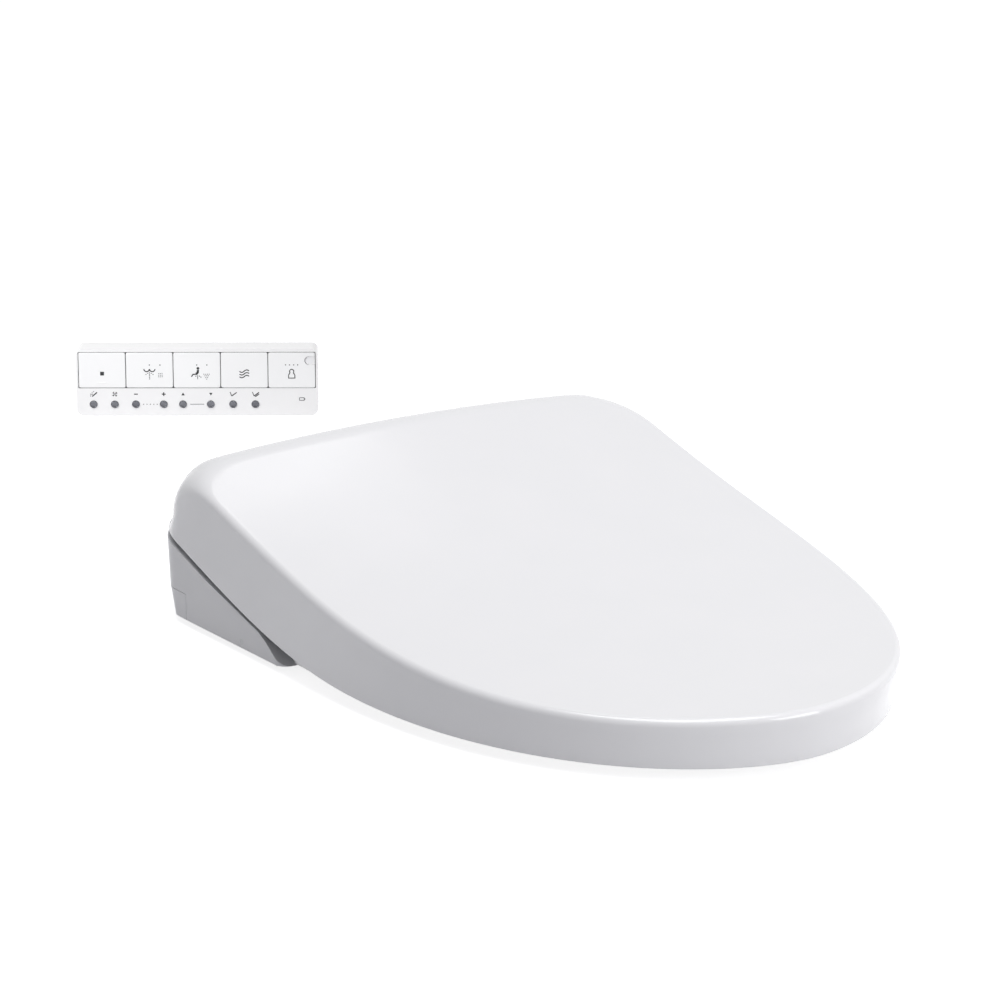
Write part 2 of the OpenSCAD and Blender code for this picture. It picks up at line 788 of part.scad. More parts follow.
pinion_z = rack_z + pinion_r;
pinion_shaft_r = 2;
module wand_pinion() {
    color("ivory")
        in_wand_frame() {
            side_view(-rack_w / 2, rack_w)
                translate([pinion_y, pinion_z])
                difference() {
                    union() {
                        circle(pinion_r - root_z);
                        for (i = [0:pinion_teeth - 1])
                            rotate(i * 360 / pinion_teeth)
                                translate([0, -pinion_r])
                                polygon([[-0.35, -tooth_h / 2], [0.35, -tooth_h / 2],
                                    [1.05, root_z + 0.2], [-1.05, root_z + 0.2]]);
                    }
                    circle(pinion_shaft_r);
                }
            rod_x(-rack_w / 2 - 2, rack_w / 2 + 2 + motor_x + motor_plate_t - touch,
                pinion_y, pinion_z, pinion_shaft_r);
        }
}

motor_x = 8.6;
motor_plate_t = 3;

module wand_motor() {
    color("dimgray")
        in_wand_frame() {
            difference() {
                translate([motor_x, pinion_y - 9, guide_top])
                    cube([motor_plate_t, 18, pinion_z + 9 - guide_top]);
                rod_x(0, motor_x + motor_plate_t + cut, pinion_y, pinion_z,
                    pinion_shaft_r + hinge_fit);
            }
            rod_x(motor_x + motor_plate_t, 16, pinion_y, pinion_z, 10.5);
        }
}

// ---- Dryer -----------------------------------------------------------------------------

fan_x = 72;
fan_y = -42;
fan_z = plate_top + 16;
fan_h = 20;
fan_out_r = impeller_r + 7;
duct_y1 = -60;

module fan_housing() {
    color("gray")
        difference() {
            union() {
                translate([fan_x, fan_y, fan_z])
                    cylinder(h = fan_h, r = fan_out_r);
                // legs down to the base plate
                for (a = [20, 140, 260])
                    translate([fan_x + (fan_out_r - 6) * cos(a), fan_y + (fan_out_r - 6) * sin(a),
                            plate_top])
                        cylinder(h = fan_z - plate_top + 1, r = 4);
            }
            translate([fan_x, fan_y, fan_z + 2])
                cylinder(h = fan_h - 4, r = impeller_r + 4);
            translate([fan_x, fan_y, fan_z - cut])
                cylinder(h = 4, r = 12);
            translate([fan_x, fan_y, fan_z + fan_h - 3])
                cylinder(h = 5, r = 3.2);
            // mouth to the duct
            translate([fan_x - 12, fan_y - fan_out_r - cut, fan_z + 4])
                cube([24, fan_out_r, fan_h - 8]);
        }
}

module fan_impeller() {
    color("black") {
        translate([fan_x, fan_y, fan_z + 3])
            cylinder(h = 1.6, r = impeller_r);
        translate([fan_x, fan_y, fan_z + 3])
            cylinder(h = fan_h - 3, r = 2.8);
        for (i = [0:impeller_blades - 1])
            translate([fan_x, fan_y, fan_z + 4])
                rotate(i * 360 / impeller_blades)
                translate([impeller_r - 6, -0.5, 0])
                cube([6 - touch, 1, fan_h - 8]);
    }
}

module fan_motor() {
    color("silver")
        translate([fan_x, fan_y, fan_z + fan_h + touch])
            difference() {
                cylinder(h = 17, r = 13);
                translate([0, 0, -cut])
                    cylinder(h = 6, r = 3.2);
            }
}

duct_wall = 1.6;
// Closed box channel from the fan's mouth down to the outlet
module dryer_duct() {
    front = flap_y - flap_l;
    rear = fan_y - fan_out_r + 2;
    color("gainsboro")
        difference() {
            side_view(fan_x - 14, 28)
                polygon([[front, plate_top], [flap_y + 2, plate_top], [rear - 1, fan_z + 2],
                    [rear - 1, fan_z + fan_h - 2], [front, fan_z + 2]]);
            side_view(fan_x - 14 + duct_wall, 28 - 2 * duct_wall)
                polygon([[front + duct_wall, plate_top - cut], [flap_y + 1, plate_top - cut],
                    [rear, fan_z + 4], [rear, fan_z + fan_h - 4], [front + duct_wall, fan_z]]);
            translate([fan_x, fan_y, fan_z - cut])
                cylinder(h = fan_h + 2 * cut, r = fan_out_r + touch);
        }
}

flap_t = 1.8;
module dryer_flap() {
    color("white") {
        translate([flap_x, flap_y - flap_l, foot_h + 0.2])
            cube([flap_w, flap_l, flap_t]);
        rod_x(flap_x, flap_w, flap_y, foot_h + 0.2 + flap_t / 2, flap_t / 2);
    }
}

// ---- Deodoriser and release button -----------------------------------------------------

deo_x = base_half - 71.5;
deo_y = filter_y + filter_l / 2;
deo_z = filter_z + filter_h / 2;
deo_r = 9;
module deodoriser_fan() {
    color("gray")
        difference() {
            translate([deo_x, deo_y - deo_r - 2.5, plate_top])
                cube([11, 2 * deo_r + 5, deo_z + deo_r + 1.5 - plate_top]);
            rod_x(deo_x - cut, 14, deo_y, deo_z, deo_r + 0.8);
        }
    // crossbar with the motor's hub
    color("gray")
        translate([deo_x, deo_y - deo_r - 1, deo_z - 1.5])
            cube([2, 2 * deo_r + 2, 3]);
}

module deodoriser_impeller() {
    color("black") {
        rod_x(deo_x + 2.5, 7, deo_y, deo_z, 3);
        for (i = [0:4])
            translate([deo_x + 3, deo_y, deo_z])
                rotate([i * 72, 0, 0])
                translate([0, -0.6, 0])
                cube([6, 1.2, deo_r - touch]);
    }
}

module filter_cartridge() {
    color("gainsboro")
        difference() {
            translate([filter_x, filter_y, filter_z])
                cube([base_half - filter_x, filter_l, filter_h]);
            // carbon cells
            for (i = [0:5])
                translate([filter_x + 5 + i * 7, filter_y + 4, filter_z - cut])
                    cube([5, filter_l - 8, filter_h + 2 * cut]);
        }
}

module release_button() {
    color("gainsboro") {
        translate([base_half - 12, release_y - release_l / 2, release_z - release_h / 2])
            cube([12, release_l, release_h]);
        translate([base_half - 26, release_y - 4, release_z - 3])
            cube([15, 8, 6]);
    }
}

// ---- Electrics -------------------------------------------------------------------------

board_z = plate_top + tank_h + 4 + 5;
module control_board() {
    color("darkgreen") {
        translate([tank_x - tank_w / 2 - 2, tank_y - tank_l / 2 + 9, board_z])
            cube([tank_w + 4, tank_l - 8, 1.6]);
        for (sx = [-1, 1], sy = [-1, 1])
            translate([tank_x + sx * 20, tank_y + sy * 22, board_z - 5])
                cylinder(h = 5, r = 3);
        // chips and connectors
        translate([tank_x - 10, tank_y - 10, board_z + 1.6])
            cube([18, 18, 2.2]);
        for (i = [0:2])
            translate([tank_x - 30 + i * 20, tank_y + 28, board_z + 1.6])
                cube([12, 8, 7]);
    }
}

module power_module() {
    color("dimgray") {
        translate([44, -8, plate_top])
            cube([56, 30, 34]);
        for (i = [0:6])
            translate([47 + i * 7.6, -8, plate_top + 34])
                cube([3, 30, 5]);
    }
}

module cord_gland() {
    color("dimgray")
        difference() {
            union() {
                translate([gland_x, base_rear - rear_tuck - 10, inlet_z])
                    rotate([-90, 0, 0])
                    cylinder(h = 22, r = gland_r);
                translate([gland_x, base_rear - rear_tuck - 12, inlet_z])
                    rotate([-90, 0, 0])
                    cylinder(h = 5, r = gland_r + 3);
                translate([gland_x - 4, base_rear - rear_tuck - 12, plate_top])
                    cube([8, 4, inlet_z - plate_top]);
            }
            translate([gland_x, base_rear - rear_tuck - 14, inlet_z])
                rotate([-90, 0, 0])
                cylinder(h = 40, r = 3.5);
        }
}

// ---- Hinge line ------------------------------------------------------------------------

seat_arm_x = housing_half + 3;
lid_arm_x = seat_arm_x + seat_arm_w + 1.5;
pin_start = ear_x + 1;
pin_end = lid_arm_x + lid_arm_w + 1;
module hinge_pins() {
    color("silver")
        both_sides() {
            rod_x(pin_start, pin_end - pin_start, hinge_y, hinge_z, hinge_pin_r);
            rod_x(pin_end, 1.6, hinge_y, hinge_z, hinge_pin_r + 2);
        }
}

module soft_close_dampers() {
    l = ear_x - ear_mid_w / 2 - 2 * touch;
    color("slategray")
        both_sides()
            difference() {
                union() {
                    rod_x(ear_mid_w / 2 + touch, l, hinge_y, hinge_z, damper_r);
                    rod_x(ear_mid_w / 2 - 4, 5, hinge_y, hinge_z, hinge_pin_r - 0.5);
                    translate([57.5, housing_rear - base_wall, hinge_z - 2.5])
                        cube([5, hinge_y - housing_rear, 5]);
                }
                // square drive socket
                translate([ear_x - 14, hinge_y - 3, hinge_z - 3])
                    cube([20, 6, 6]);
            }
}

// ---- Seat ------------------------------------------------------------------------------

seat_inset = lid_wall + seat_gap;
seat_half = half_w - seat_inset;
seat_rear = -base_front - 3;
seat_corner = 18;
seat_outline = mirrored(half_outline(9, seat_half, seat_rear, seat_corner,
    seat_rear - seat_corner - 3, front_reach - seat_inset));
seat_n = len(seat_outline);
// Point of the hole's edge in the same direction from the hole's middle
function hole_point(p) =
    let (v = p - [0, hole_y], a = atan2(v.y, v.x))
    let (r = 1 / norm([cos(a) / (hole_w / 2), sin(a) / (hole_l / 2)]))
    [r * cos(a), hole_y + r * sin(a)];
function seat_top(y) =
    seat_front_h + seat_rise * pow((y + front_reach) / (seat_rear + front_reach), 2);

// Ring of the seat: d outside-in from the outer edge when from_hole is 0, or from the hole
function seat_ring(d, drop, fixed_z, from_hole) = [for (p = seat_outline)
    let (h = hole_point(p), v = unit(h - p))
    let (q = from_hole == 1 ? h - d * v : p + d * v)
        [q.x, q.y, fixed_z > 0 ? fixed_z : seat_top(q.y) - drop]];
// Ring at a share of the way between the outer edge and the hole
function seat_mid(k, drop) = [for (p = seat_outline)
    let (h = hole_point(p), q = mix(p, h, k))
        [q.x, q.y, seat_top(q.y) - drop]];

outer_r = 9;
hole_r = 7;
hole_dip = 6;                           // the top falls towards the hole
t = seat_wall;
module seat_shell() {
    color("white")
        band([
            seat_ring(0, 0, seat_split_z, 0),
            seat_ring(0, outer_r, 0, 0),
            seat_ring(outer_r * 0.13, outer_r * 0.5, 0, 0),
            seat_ring(outer_r * 0.5, outer_r * 0.13, 0, 0),
            seat_ring(outer_r, 0, 0, 0),
            seat_mid(0.55, 1.5),
            seat_ring(hole_r, hole_dip, 0, 1),
            seat_ring(hole_r * 0.5, hole_dip + hole_r * 0.13, 0, 1),
            seat_ring(hole_r * 0.13, hole_dip + hole_r * 0.5, 0, 1),
            seat_ring(0, hole_dip + hole_r, 0, 1),
            seat_ring(0, 0, seat_split_z, 1),
            seat_ring(t, 0, seat_split_z, 1),
            seat_ring(t, hole_dip + hole_r, 0, 1),
            seat_ring(hole_r, hole_dip + t, 0, 1),
            seat_mid(0.55, 1.5 + t),
            seat_ring(outer_r, t, 0, 0),
            seat_ring(t, outer_r, 0, 0),
            seat_ring(t, 0, seat_split_z, 0)
        ]);
}

module seat_base() {
    z0 = seat_z;
    z1 = seat_split_z;
    color("white")
        band([
            seat_ring(3, 0, z0, 0),
            seat_ring(0, 0, z0 + 3, 0),
            seat_ring(0, 0, z1, 0),
            seat_ring(t, 0, z1, 0),
            seat_ring(t, 0, z0 + t + 1, 0),
            seat_ring(t + 1, 0, z0 + t, 0),
            seat_ring(t + 1, 0, z0 + t, 1),
            seat_ring(t, 0, z0 + t + 1, 1),
            seat_ring(t, 0, z1, 1),
            seat_ring(0, 0, z1, 1),
            seat_ring(0, 0, z0 + 3, 1),
            seat_ring(3, 0, z0, 1)
        ]);
}

module seat_heater() {
    top_gap = t + 0.8;
    color("goldenrod")
        band([
            seat_ring(outer_r, top_gap, 0, 0),
            seat_mid(0.55, 1.5 + top_gap),
            seat_ring(hole_r, hole_dip + top_gap, 0, 1),
            seat_ring(hole_r, hole_dip + top_gap + foil_t, 0, 1),
            seat_mid(0.55, 1.5 + top_gap + foil_t),
            seat_ring(outer_r, top_gap + foil_t, 0, 0)
        ]);
}

seat_pad_places = [[0.79 * seat_half, -0.404 * front_reach], [0.45 * seat_half, -0.808 * front_reach]];
module seat_pads() {
    color("gray")
        both_sides()
            for (p = seat_pad_places)
                translate([p.x, p.y, 0])
                    cylinder(h = seat_z, r = pad_r);
}

arm_foot_z0 = seat_z + 4;
arm_under = 26;                         // the open lid's rear wall comes up to this angle
module seat_hinge_arms() {
    color("white")
        both_sides()
            difference() {
                side_view(seat_arm_x, seat_arm_w) {
                    translate([hinge_y, hinge_z])
                        circle(knuckle_r);
                    polygon([[seat_rear, arm_foot_z0],
                        [hinge_y, hinge_z] - (sweep_r + 2) * [cos(arm_under), sin(arm_under)],
                        [hinge_y, hinge_z] - (knuckle_r - 2) * [cos(arm_under), sin(arm_under)],
                        [hinge_y, hinge_z + knuckle_r],
                        [seat_rear, seat_top(seat_rear) - 1]]);
                }
                rod_x(seat_arm_x - cut, seat_arm_w + 2 * cut, hinge_y, hinge_z,
                    hinge_pin_r + hinge_fit);
            }
}

// ---- Lid -------------------------------------------------------------------------------

module lid_shell() {
    color("white")
        loft(concat(lid_side(0), reversed(lid_side(lid_wall))));
}

// Inner panel under the lid's top
liner_shares = [0.03, 0.2, 0.4, 0.6, 0.75, 0.88];
liner_drop = lid_wall + touch;
module lid_liner() {
    color("gainsboro")
        loft(concat(
            [for (k = liner_shares) top_ring(0, k, liner_drop)],
            reversed([for (k = liner_shares) top_ring(0, k, liner_drop + liner_t)])
        ));
}

lid_pad_places = [[0.794 * half_w, -0.502 * front_reach], [0.522 * half_w, -0.8255 * front_reach]];
module lid_pads() {
    color("gray")
        both_sides()
            for (p = lid_pad_places) {
                front_edge = [p.x, p.y - pad_r];
                z0 = seat_top(p.y + pad_r) + touch;
                z1 = top_z(front_edge) - liner_drop - liner_t - touch;
                translate([p.x, p.y, z0])
                    cylinder(h = z1 - z0, r = pad_r);
            }
}

module lid_hinge_arms() {
    arm_front = -20;
    arm_rear = 22;
    under = liner_drop + liner_t + touch;
    x_out = lid_arm_x + lid_arm_w;
    color("white")
        both_sides()
            difference() {
                side_view(lid_arm_x, lid_arm_w) {
                    translate([hinge_y, hinge_z])
                        circle(knuckle_r);
                    polygon([[hinge_y + 4, hinge_z + knuckle_r - 1.2],
                        [hinge_y - 6, hinge_z - knuckle_r + 2.4],
                        [arm_front, top_z([x_out, arm_front]) - under - 14],
                        [arm_front, top_z([x_out, arm_front]) - under],
                        [arm_rear, top_z([x_out, arm_rear]) - under]]);
                }
                rod_x(lid_arm_x - cut, lid_arm_w + 2 * cut, hinge_y, hinge_z,
                    hinge_pin_r + hinge_fit);
            }
}

// ---- Hand control ----------------------------------------------------------------------

// Places its children in the hand control's frame: x along it, y into it, z up
module in_remote_frame() {
    translate([remote_x, remote_y, 0])
        rotate([0, 0, remote_turn])
        children();
}

// Extrudes a front view, drawn as [x, z], from depth y0 backwards over d
module front_view(y0, d) {
    translate([0, y0 + d, 0])
        rotate([90, 0, 0])
        linear_extrude(d)
        children();
}

remote_front = -remote_d / 2;
case_split = -1;
face_t = remote_wall;
key_count = 5;
key_row_w = remote_w - 2 * key_side;
key_pitch = key_row_w / key_count;
key_z = remote_h - key_h / 2 - 3;
key_proud = 0.5;
key_t = 2.6;
lip = 0.8;
function key_x(i) = (i - (key_count - 1) / 2) * key_pitch;
button_xs = [for (x = [14, 31.5, 49, 72, 88, 111, 129.5, 148]) x - remote_w / 2];
button_flange = 1;
board_y = remote_front + 5.6;
window_x = key_row_w / 2 - 5.2;
window_z = key_z + 8;
window_r = 3.4;

module remote_outline(d) {
    translate([0, remote_h / 2])
        rounded_rect(remote_w - 2 * d, remote_h - 2 * d, remote_r - d);
}

module remote_front_case() {
    color("white")
        in_remote_frame()
            difference() {
                front_view(remote_front, case_split - remote_front)
                    remote_outline(0);
                front_view(remote_front + face_t, remote_d)
                    remote_outline(remote_wall);
                // window for the row of large keys
                front_view(remote_front - cut, face_t + 2 * cut)
                    translate([0, key_z])
                    rounded_rect(key_row_w - key_gap + 2 * touch, key_h + 2 * touch, 2);
                for (x = button_xs)
                    front_view(remote_front - cut, face_t + 2 * cut)
                        translate([x, button_z])
                        circle(button_r + touch);
            }
}

cell_r = 7.1;
cell_l = 50;
cell_y = remote_d / 2 - remote_wall - cell_r - 0.6;
cell_z = remote_h / 2;
cover_w = 2 * cell_l + 8;
cover_h = 2 * cell_r + 10;
module remote_back_case() {
    color("white")
        in_remote_frame() {
            difference() {
                front_view(case_split + touch / 3, remote_d / 2 - case_split - touch / 3)
                    remote_outline(0);
                front_view(-remote_d, remote_d + remote_d / 2 - remote_wall)
                    remote_outline(remote_wall);
                front_view(remote_d / 2 - remote_wall - cut, remote_wall + 2 * cut)
                    translate([0, cell_z])
                    rounded_rect(cover_w + 2 * touch, cover_h + 2 * touch, 3);
            }
            // end walls of the battery bay
            for (s = [-1, 1])
                translate([s * (cover_w / 2 + 1.5) - 1, case_split + 1, cell_z - cover_h / 2])
                    cube([2, remote_d / 2 - case_split - 1 - remote_wall, cover_h]);
        }
}

module battery_cover() {
    color("white")
        in_remote_frame() {
            front_view(remote_d / 2 - remote_wall, remote_wall)
                translate([0, cell_z])
                rounded_rect(cover_w, cover_h, 3);
            // grip ribs
            for (i = [-2:2])
                translate([cover_w / 2 - 14 + i * 2.4, remote_d / 2 - cut, cell_z - 6])
                    cube([1, cut + 0.5, 12]);
        }
}

module batteries() {
    color("darkkhaki")
        in_remote_frame()
            for (s = [-1, 1]) {
                rod_x(s * (cell_l / 2 + 1) - cell_l / 2 + 0.6, cell_l - 1.6, cell_y, cell_z, cell_r);
                rod_x(s * (cell_l / 2 + 1) + cell_l / 2 - 1, 1, cell_y, cell_z, 2.6);
            }
}

module battery_contacts() {
    color("silver")
        in_remote_frame()
            for (s = [-1, 1]) {
                translate([s * (cover_w / 2 - touch) - 0.5, cell_y - 5, cell_z - 5])
                    cube([1, 10, 10]);
                rod_x(s > 0 ? cell_l + 1.3 : -cover_w / 2 + touch, cover_w / 2 - cell_l - (s > 0 ? 1.6 : 1),
                    cell_y, cell_z, 2.4);
            }
}

module remote_board() {
    color("darkgreen")
        in_remote_frame()
            front_view(board_y, 1.4)
                translate([0, remote_h / 2])
                rounded_rect(remote_w - 2 * remote_wall - 2 * touch,
                    remote_h - 2 * remote_wall - 2 * touch, remote_r - remote_wall - touch);
}

keypad_t = 1.2;
keypad_y = board_y - keypad_t;
module remote_keypad() {
    color("lightslategray")
        in_remote_frame() {
            front_view(keypad_y, keypad_t)
                translate([0, remote_h / 2])
                rounded_rect(remote_w - 12, remote_h - 10, 2);
        }
}

module remote_window() {
    color("dimgray")
        in_remote_frame()
            front_view(remote_front + 0.2, keypad_y - remote_front - 0.2)
                translate([window_x, window_z])
                circle(window_r);
}

// One large key: a plate in the window with a stem towards the keypad
module key(i) {
    color("white")
        in_remote_frame()
            difference() {
                union() {
                    front_view(remote_front - key_proud, key_t)
                        translate([key_x(i), key_z])
                        rounded_rect(key_pitch - key_gap, key_h, 1.6);
                    front_view(remote_front - key_proud + key_t,
                            keypad_y - remote_front + key_proud - key_t - key_travel - 0.1)
                        translate([key_x(i), key_z])
                        rounded_rect(key_pitch - 10, key_h - 10, 1.5);
                }
                if (i == key_count - 1)
                    front_view(remote_front - key_proud - cut, remote_d / 2)
                        translate([window_x, window_z]) {
                            circle(window_r + touch);
                            translate([0, -window_r - touch])
                                square([12, 2 * (window_r + touch)]);
                        }
            }
}

module key_stop() {
    key(0);
}

module key_rear_wash() {
    key(1);
}

module key_front_wash() {
    key(2);
}

module key_dryer() {
    key(3);
}

module key_user() {
    key(4);
}

// One small button: a round cap with a flange behind the face
module button(i) {
    flange_y = remote_front + face_t + 0.2;
    color("gray")
        in_remote_frame() {
            front_view(remote_front - key_proud - 0.3, face_t + key_proud + 0.5)
                translate([button_xs[i], button_z])
                circle(button_r);
            front_view(flange_y, button_flange)
                translate([button_xs[i], button_z])
                circle(button_r + lip);
            front_view(flange_y + button_flange,
                    keypad_y - flange_y - button_flange - button_travel - 0.1)
                translate([button_xs[i], button_z])
                circle(button_r - 1);
        }
}

module button_clean() {
    button(0);
}

module button_fan() {
    button(1);
}

module button_minus() {
    button(2);
}

module button_plus() {
    button(3);
}

module button_down() {
    button(5);
}

module button_up() {
    button(4);
}

module button_lid() {
    button(6);
}

module button_seat() {
    button(7);
}

base_plate();
upper_casing();
corner_cover();
side_plugs();
mounting_bracket();
base_feet();
heater_tank();
solenoid_valve();
inlet_connector();
water_hoses();
drain_plug();
wand_guide();
wand();
nozzle_head();
wand_motor();
wand_pinion();
fan_housing();
fan_impeller();
fan_motor();
dryer_duct();
dryer_flap();
deodoriser_fan();
deodoriser_impeller();
filter_cartridge();
release_button();
control_board();
power_module();
cord_gland();
hinge_pins();
soft_close_dampers();
seat_shell();
seat_base();
seat_heater();
seat_pads();
seat_hinge_arms();
lid_shell();
lid_liner();
lid_pads();
lid_hinge_arms();
remote_front_case();
remote_back_case();
battery_cover();
batteries();
battery_contacts();
remote_board();
remote_keypad();
remote_window();
key_stop();
key_rear_wash();
key_front_wash();
key_dryer();
key_user();
button_clean();
button_fan();
button_minus();
button_plus();
button_down();
button_up();
button_lid();
button_seat();
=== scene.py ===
# %% [markdown]
# # An electric bidet seat, dressed for a studio picture
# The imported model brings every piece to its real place, in metres. This lesson lays finer
# skins over the moulded pieces, gives each one the finish of its real material, and lights
# them the way a catalogue shows white bathroom ware: pale floor, soft boxes, no hard shadow.

# %% The fixed frame
import json
import math

import bmesh
import bpy
import numpy as np
from mathutils import Matrix, Vector

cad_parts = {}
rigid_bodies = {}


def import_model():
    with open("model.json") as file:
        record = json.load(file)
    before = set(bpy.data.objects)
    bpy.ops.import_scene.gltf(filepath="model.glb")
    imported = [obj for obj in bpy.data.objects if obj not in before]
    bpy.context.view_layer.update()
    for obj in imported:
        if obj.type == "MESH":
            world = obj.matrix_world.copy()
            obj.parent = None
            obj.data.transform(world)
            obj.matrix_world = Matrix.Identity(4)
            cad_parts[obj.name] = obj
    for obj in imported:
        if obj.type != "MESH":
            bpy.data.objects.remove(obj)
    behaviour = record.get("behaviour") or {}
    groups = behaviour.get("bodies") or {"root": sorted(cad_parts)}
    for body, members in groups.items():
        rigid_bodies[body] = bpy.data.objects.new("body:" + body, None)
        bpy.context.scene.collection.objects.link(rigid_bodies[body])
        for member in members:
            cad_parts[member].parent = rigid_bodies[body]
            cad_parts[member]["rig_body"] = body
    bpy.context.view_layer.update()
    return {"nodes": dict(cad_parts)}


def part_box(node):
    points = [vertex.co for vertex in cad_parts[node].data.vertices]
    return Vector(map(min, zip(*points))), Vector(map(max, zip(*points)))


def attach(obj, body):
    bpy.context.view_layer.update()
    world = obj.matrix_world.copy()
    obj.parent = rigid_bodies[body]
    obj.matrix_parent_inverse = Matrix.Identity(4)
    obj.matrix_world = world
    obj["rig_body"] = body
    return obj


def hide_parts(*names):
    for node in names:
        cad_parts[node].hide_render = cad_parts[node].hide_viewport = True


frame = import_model()
MM = 0.001

# %% [markdown]
# ## The camera
# A long lens far away keeps the lid's long sides almost parallel, as in a catalogue picture.
# The camera's place is written as a turn and a height around a point in the middle of the
# lid. Aiming a little beside that point puts the seat low and right in the frame, with no
# lens shift.

# %% Camera
look_at = Vector((0, -172, 60)) * MM
turn, height = math.radians(-33.94), math.radians(17.64)
back = Vector((math.sin(turn) * math.cos(height), -math.cos(turn) * math.cos(height),
               math.sin(height)))
right = Vector((math.cos(turn), math.sin(turn), 0))
up = back.cross(right)
focal, aside, above = 4.564, 0.0546, 0.0664        # in picture widths
distance = 3.192
aim = -back - right * aside / focal + up * above / focal
lens = bpy.data.cameras.new("catalogue lens")
lens.lens, lens.sensor_width = 36 * focal, 36
lens.clip_end = 30
camera = bpy.data.objects.new("camera", lens)
bpy.context.scene.collection.objects.link(camera)
camera.location = look_at + back * distance
camera.rotation_euler = aim.to_track_quat("-Z", "Y").to_euler()
bpy.context.scene.camera = camera
print("camera at", [round(v, 2) for v in camera.location])

# %% [markdown]
# ## How colours and materials are written
# Colours are kept as the hex values a painter would pick, and one function turns them into
# the linear light that a renderer works in. One more function adds a node, fills its sockets
# and wires its links, so that a material reads from top to bottom like a recipe.

# %% Colour and node helpers


def linear(hex_colour):
    """An sRGB hex colour as linear red, green, blue and alpha."""
    parts = [int(hex_colour[i:i + 2], 16) / 255 for i in (1, 3, 5)]
    return [p / 12.92 if p <= 0.04045 else ((p + 0.055) / 1.055) ** 2.4 for p in parts] + [1]


def add(tree, kind, sockets=None, **settings):
    """Adds a node. A socket takes a value, or a (node, output name) pair to link from."""
    made = tree.nodes.new(kind)
    for key, value in settings.items():
        setattr(made, key, value)
    for key, value in (sockets or {}).items():
        if isinstance(value, tuple) and isinstance(value[0], bpy.types.Node):
            tree.links.new(value[0].outputs[value[1]], made.inputs[key])
        else:
            made.inputs[key].default_value = value
    return made


def blank(name):
    """A new material with an empty node tree."""
    material = bpy.data.materials.new(name)
    material.use_nodes = True
    material.node_tree.nodes.clear()
    return material, material.node_tree


# %% [markdown]
# ## Moulded plastic
# Nearly every piece here is injection-moulded. Such plastic is one colour all through, with
# slow, barely visible shifts where the melt flowed, and a skin that copies the steel mould:
# polished steel gives gloss with a faint ripple, spark-eroded steel gives a fine satin grain.
# A noise a few centimetres wide shifts the colour, one of 1 to 3 mm makes ripple or grain,
# and a third one varies the roughness as handling does.

# %% Moulded plastic


def moulded(name, colour, shade, gloss, grain_mm, depth_mm, coat=0.0):
    """Plastic between two close colours, with the grain of its mould."""
    material, tree = blank(name)
    place = add(tree, "ShaderNodeTexCoord")
    flow = add(tree, "ShaderNodeTexNoise", {"Vector": (place, "Object"), "Scale": 1 / 0.06,
                                            "Detail": 3.0, "Roughness": 0.45})
    tint = add(tree, "ShaderNodeValToRGB", {"Fac": (flow, "Fac")})
    tint.color_ramp.elements[0].color = linear(shade)
    tint.color_ramp.elements[1].color = linear(colour)
    touch = add(tree, "ShaderNodeTexNoise", {"Vector": (place, "Object"), "Scale": 1 / 0.035,
                                             "Detail": 5.0, "Roughness": 0.6})
    rough = add(tree, "ShaderNodeMapRange", {"Value": (touch, "Fac"), "From Min": 0.3,
                                             "From Max": 0.7, "To Min": gloss * 0.88,
                                             "To Max": gloss * 1.14})
    grain = add(tree, "ShaderNodeTexNoise", {"Vector": (place, "Object"),
                                             "Scale": 1 / (grain_mm * MM), "Detail": 2.0})
    bump = add(tree, "ShaderNodeBump", {"Height": (grain, "Fac"), "Strength": 1.0,
                                        "Distance": depth_mm * MM})
    shader = add(tree, "ShaderNodeBsdfPrincipled",
                 {"Base Color": (tint, "Color"), "Roughness": (rough, "Result"),
                  "Normal": (bump, "Normal"), "IOR": 1.53, "Coat Weight": coat,
                  "Coat Roughness": 0.06})
    add(tree, "ShaderNodeOutputMaterial", {"Surface": (shader, "BSDF")})
    return material


# polished steel moulds: wet-looking white with a ripple too slight to feel
lid_white = moulded("polished white ABS", "#F3F2F4", "#EFEFF1", 0.16, 9, 0.012, coat=0.35)
# the same white under the lid, from a finer satin mould
base_white = moulded("satin white ABS", "#EDECEE", "#E8E8EA", 0.30, 1.2, 0.012)
seat_white = moulded("polished white seat resin", "#F2F1F0", "#ECECEC", 0.2, 7, 0.012, coat=0.25)
liner_white = moulded("eroded white ABS", "#E9E9EA", "#E2E3E4", 0.42, 1.4, 0.03)
frame_grey = moulded("natural grey ABS", "#B9BABC", "#ABACAF", 0.5, 1.6, 0.04)
frame_dark = moulded("black glass-filled nylon", "#2A2B2D", "#1F2022", 0.55, 1.3, 0.05)
remote_white = moulded("polished white remote ABS", "#F0EFEF", "#EBEBEB", 0.2, 6, 0.01, coat=0.3)
key_white = moulded("white key caps", "#F4F4F4", "#EFEFEF", 0.24, 5, 0.01, coat=0.2)
# this black is the print on the signs, and also the painted shade in the gaps round the keys
print_and_gap_shade_ink = moulded("black pad print and painted gap shade", "#1D1E20", "#151618", 0.5, 0.8, 0.01)
line_ink = moulded("grey pad print", "#77797D", "#6B6D71", 0.5, 0.8, 0.01)
window_pale = moulded("milky infrared window", "#EDEDEE", "#E6E6E8", 0.22, 6, 0.004, coat=0.3)
board_green = moulded("green solder mask", "#1E5B3A", "#174A2F", 0.35, 2.0, 0.02)
wrap_khaki = moulded("printed cell wrap", "#6E6A58", "#5F5C4C", 0.3, 3.0, 0.01)

# %% [markdown]
# ## Rubber and silicone
# Feet, pads and the keypad are soft rubber: matt, slightly dusty, with a sheen at grazing
# angles from its fine nap. A principled shader with a little sheen and a strong fine bump
# reads that way.

# %% Rubber


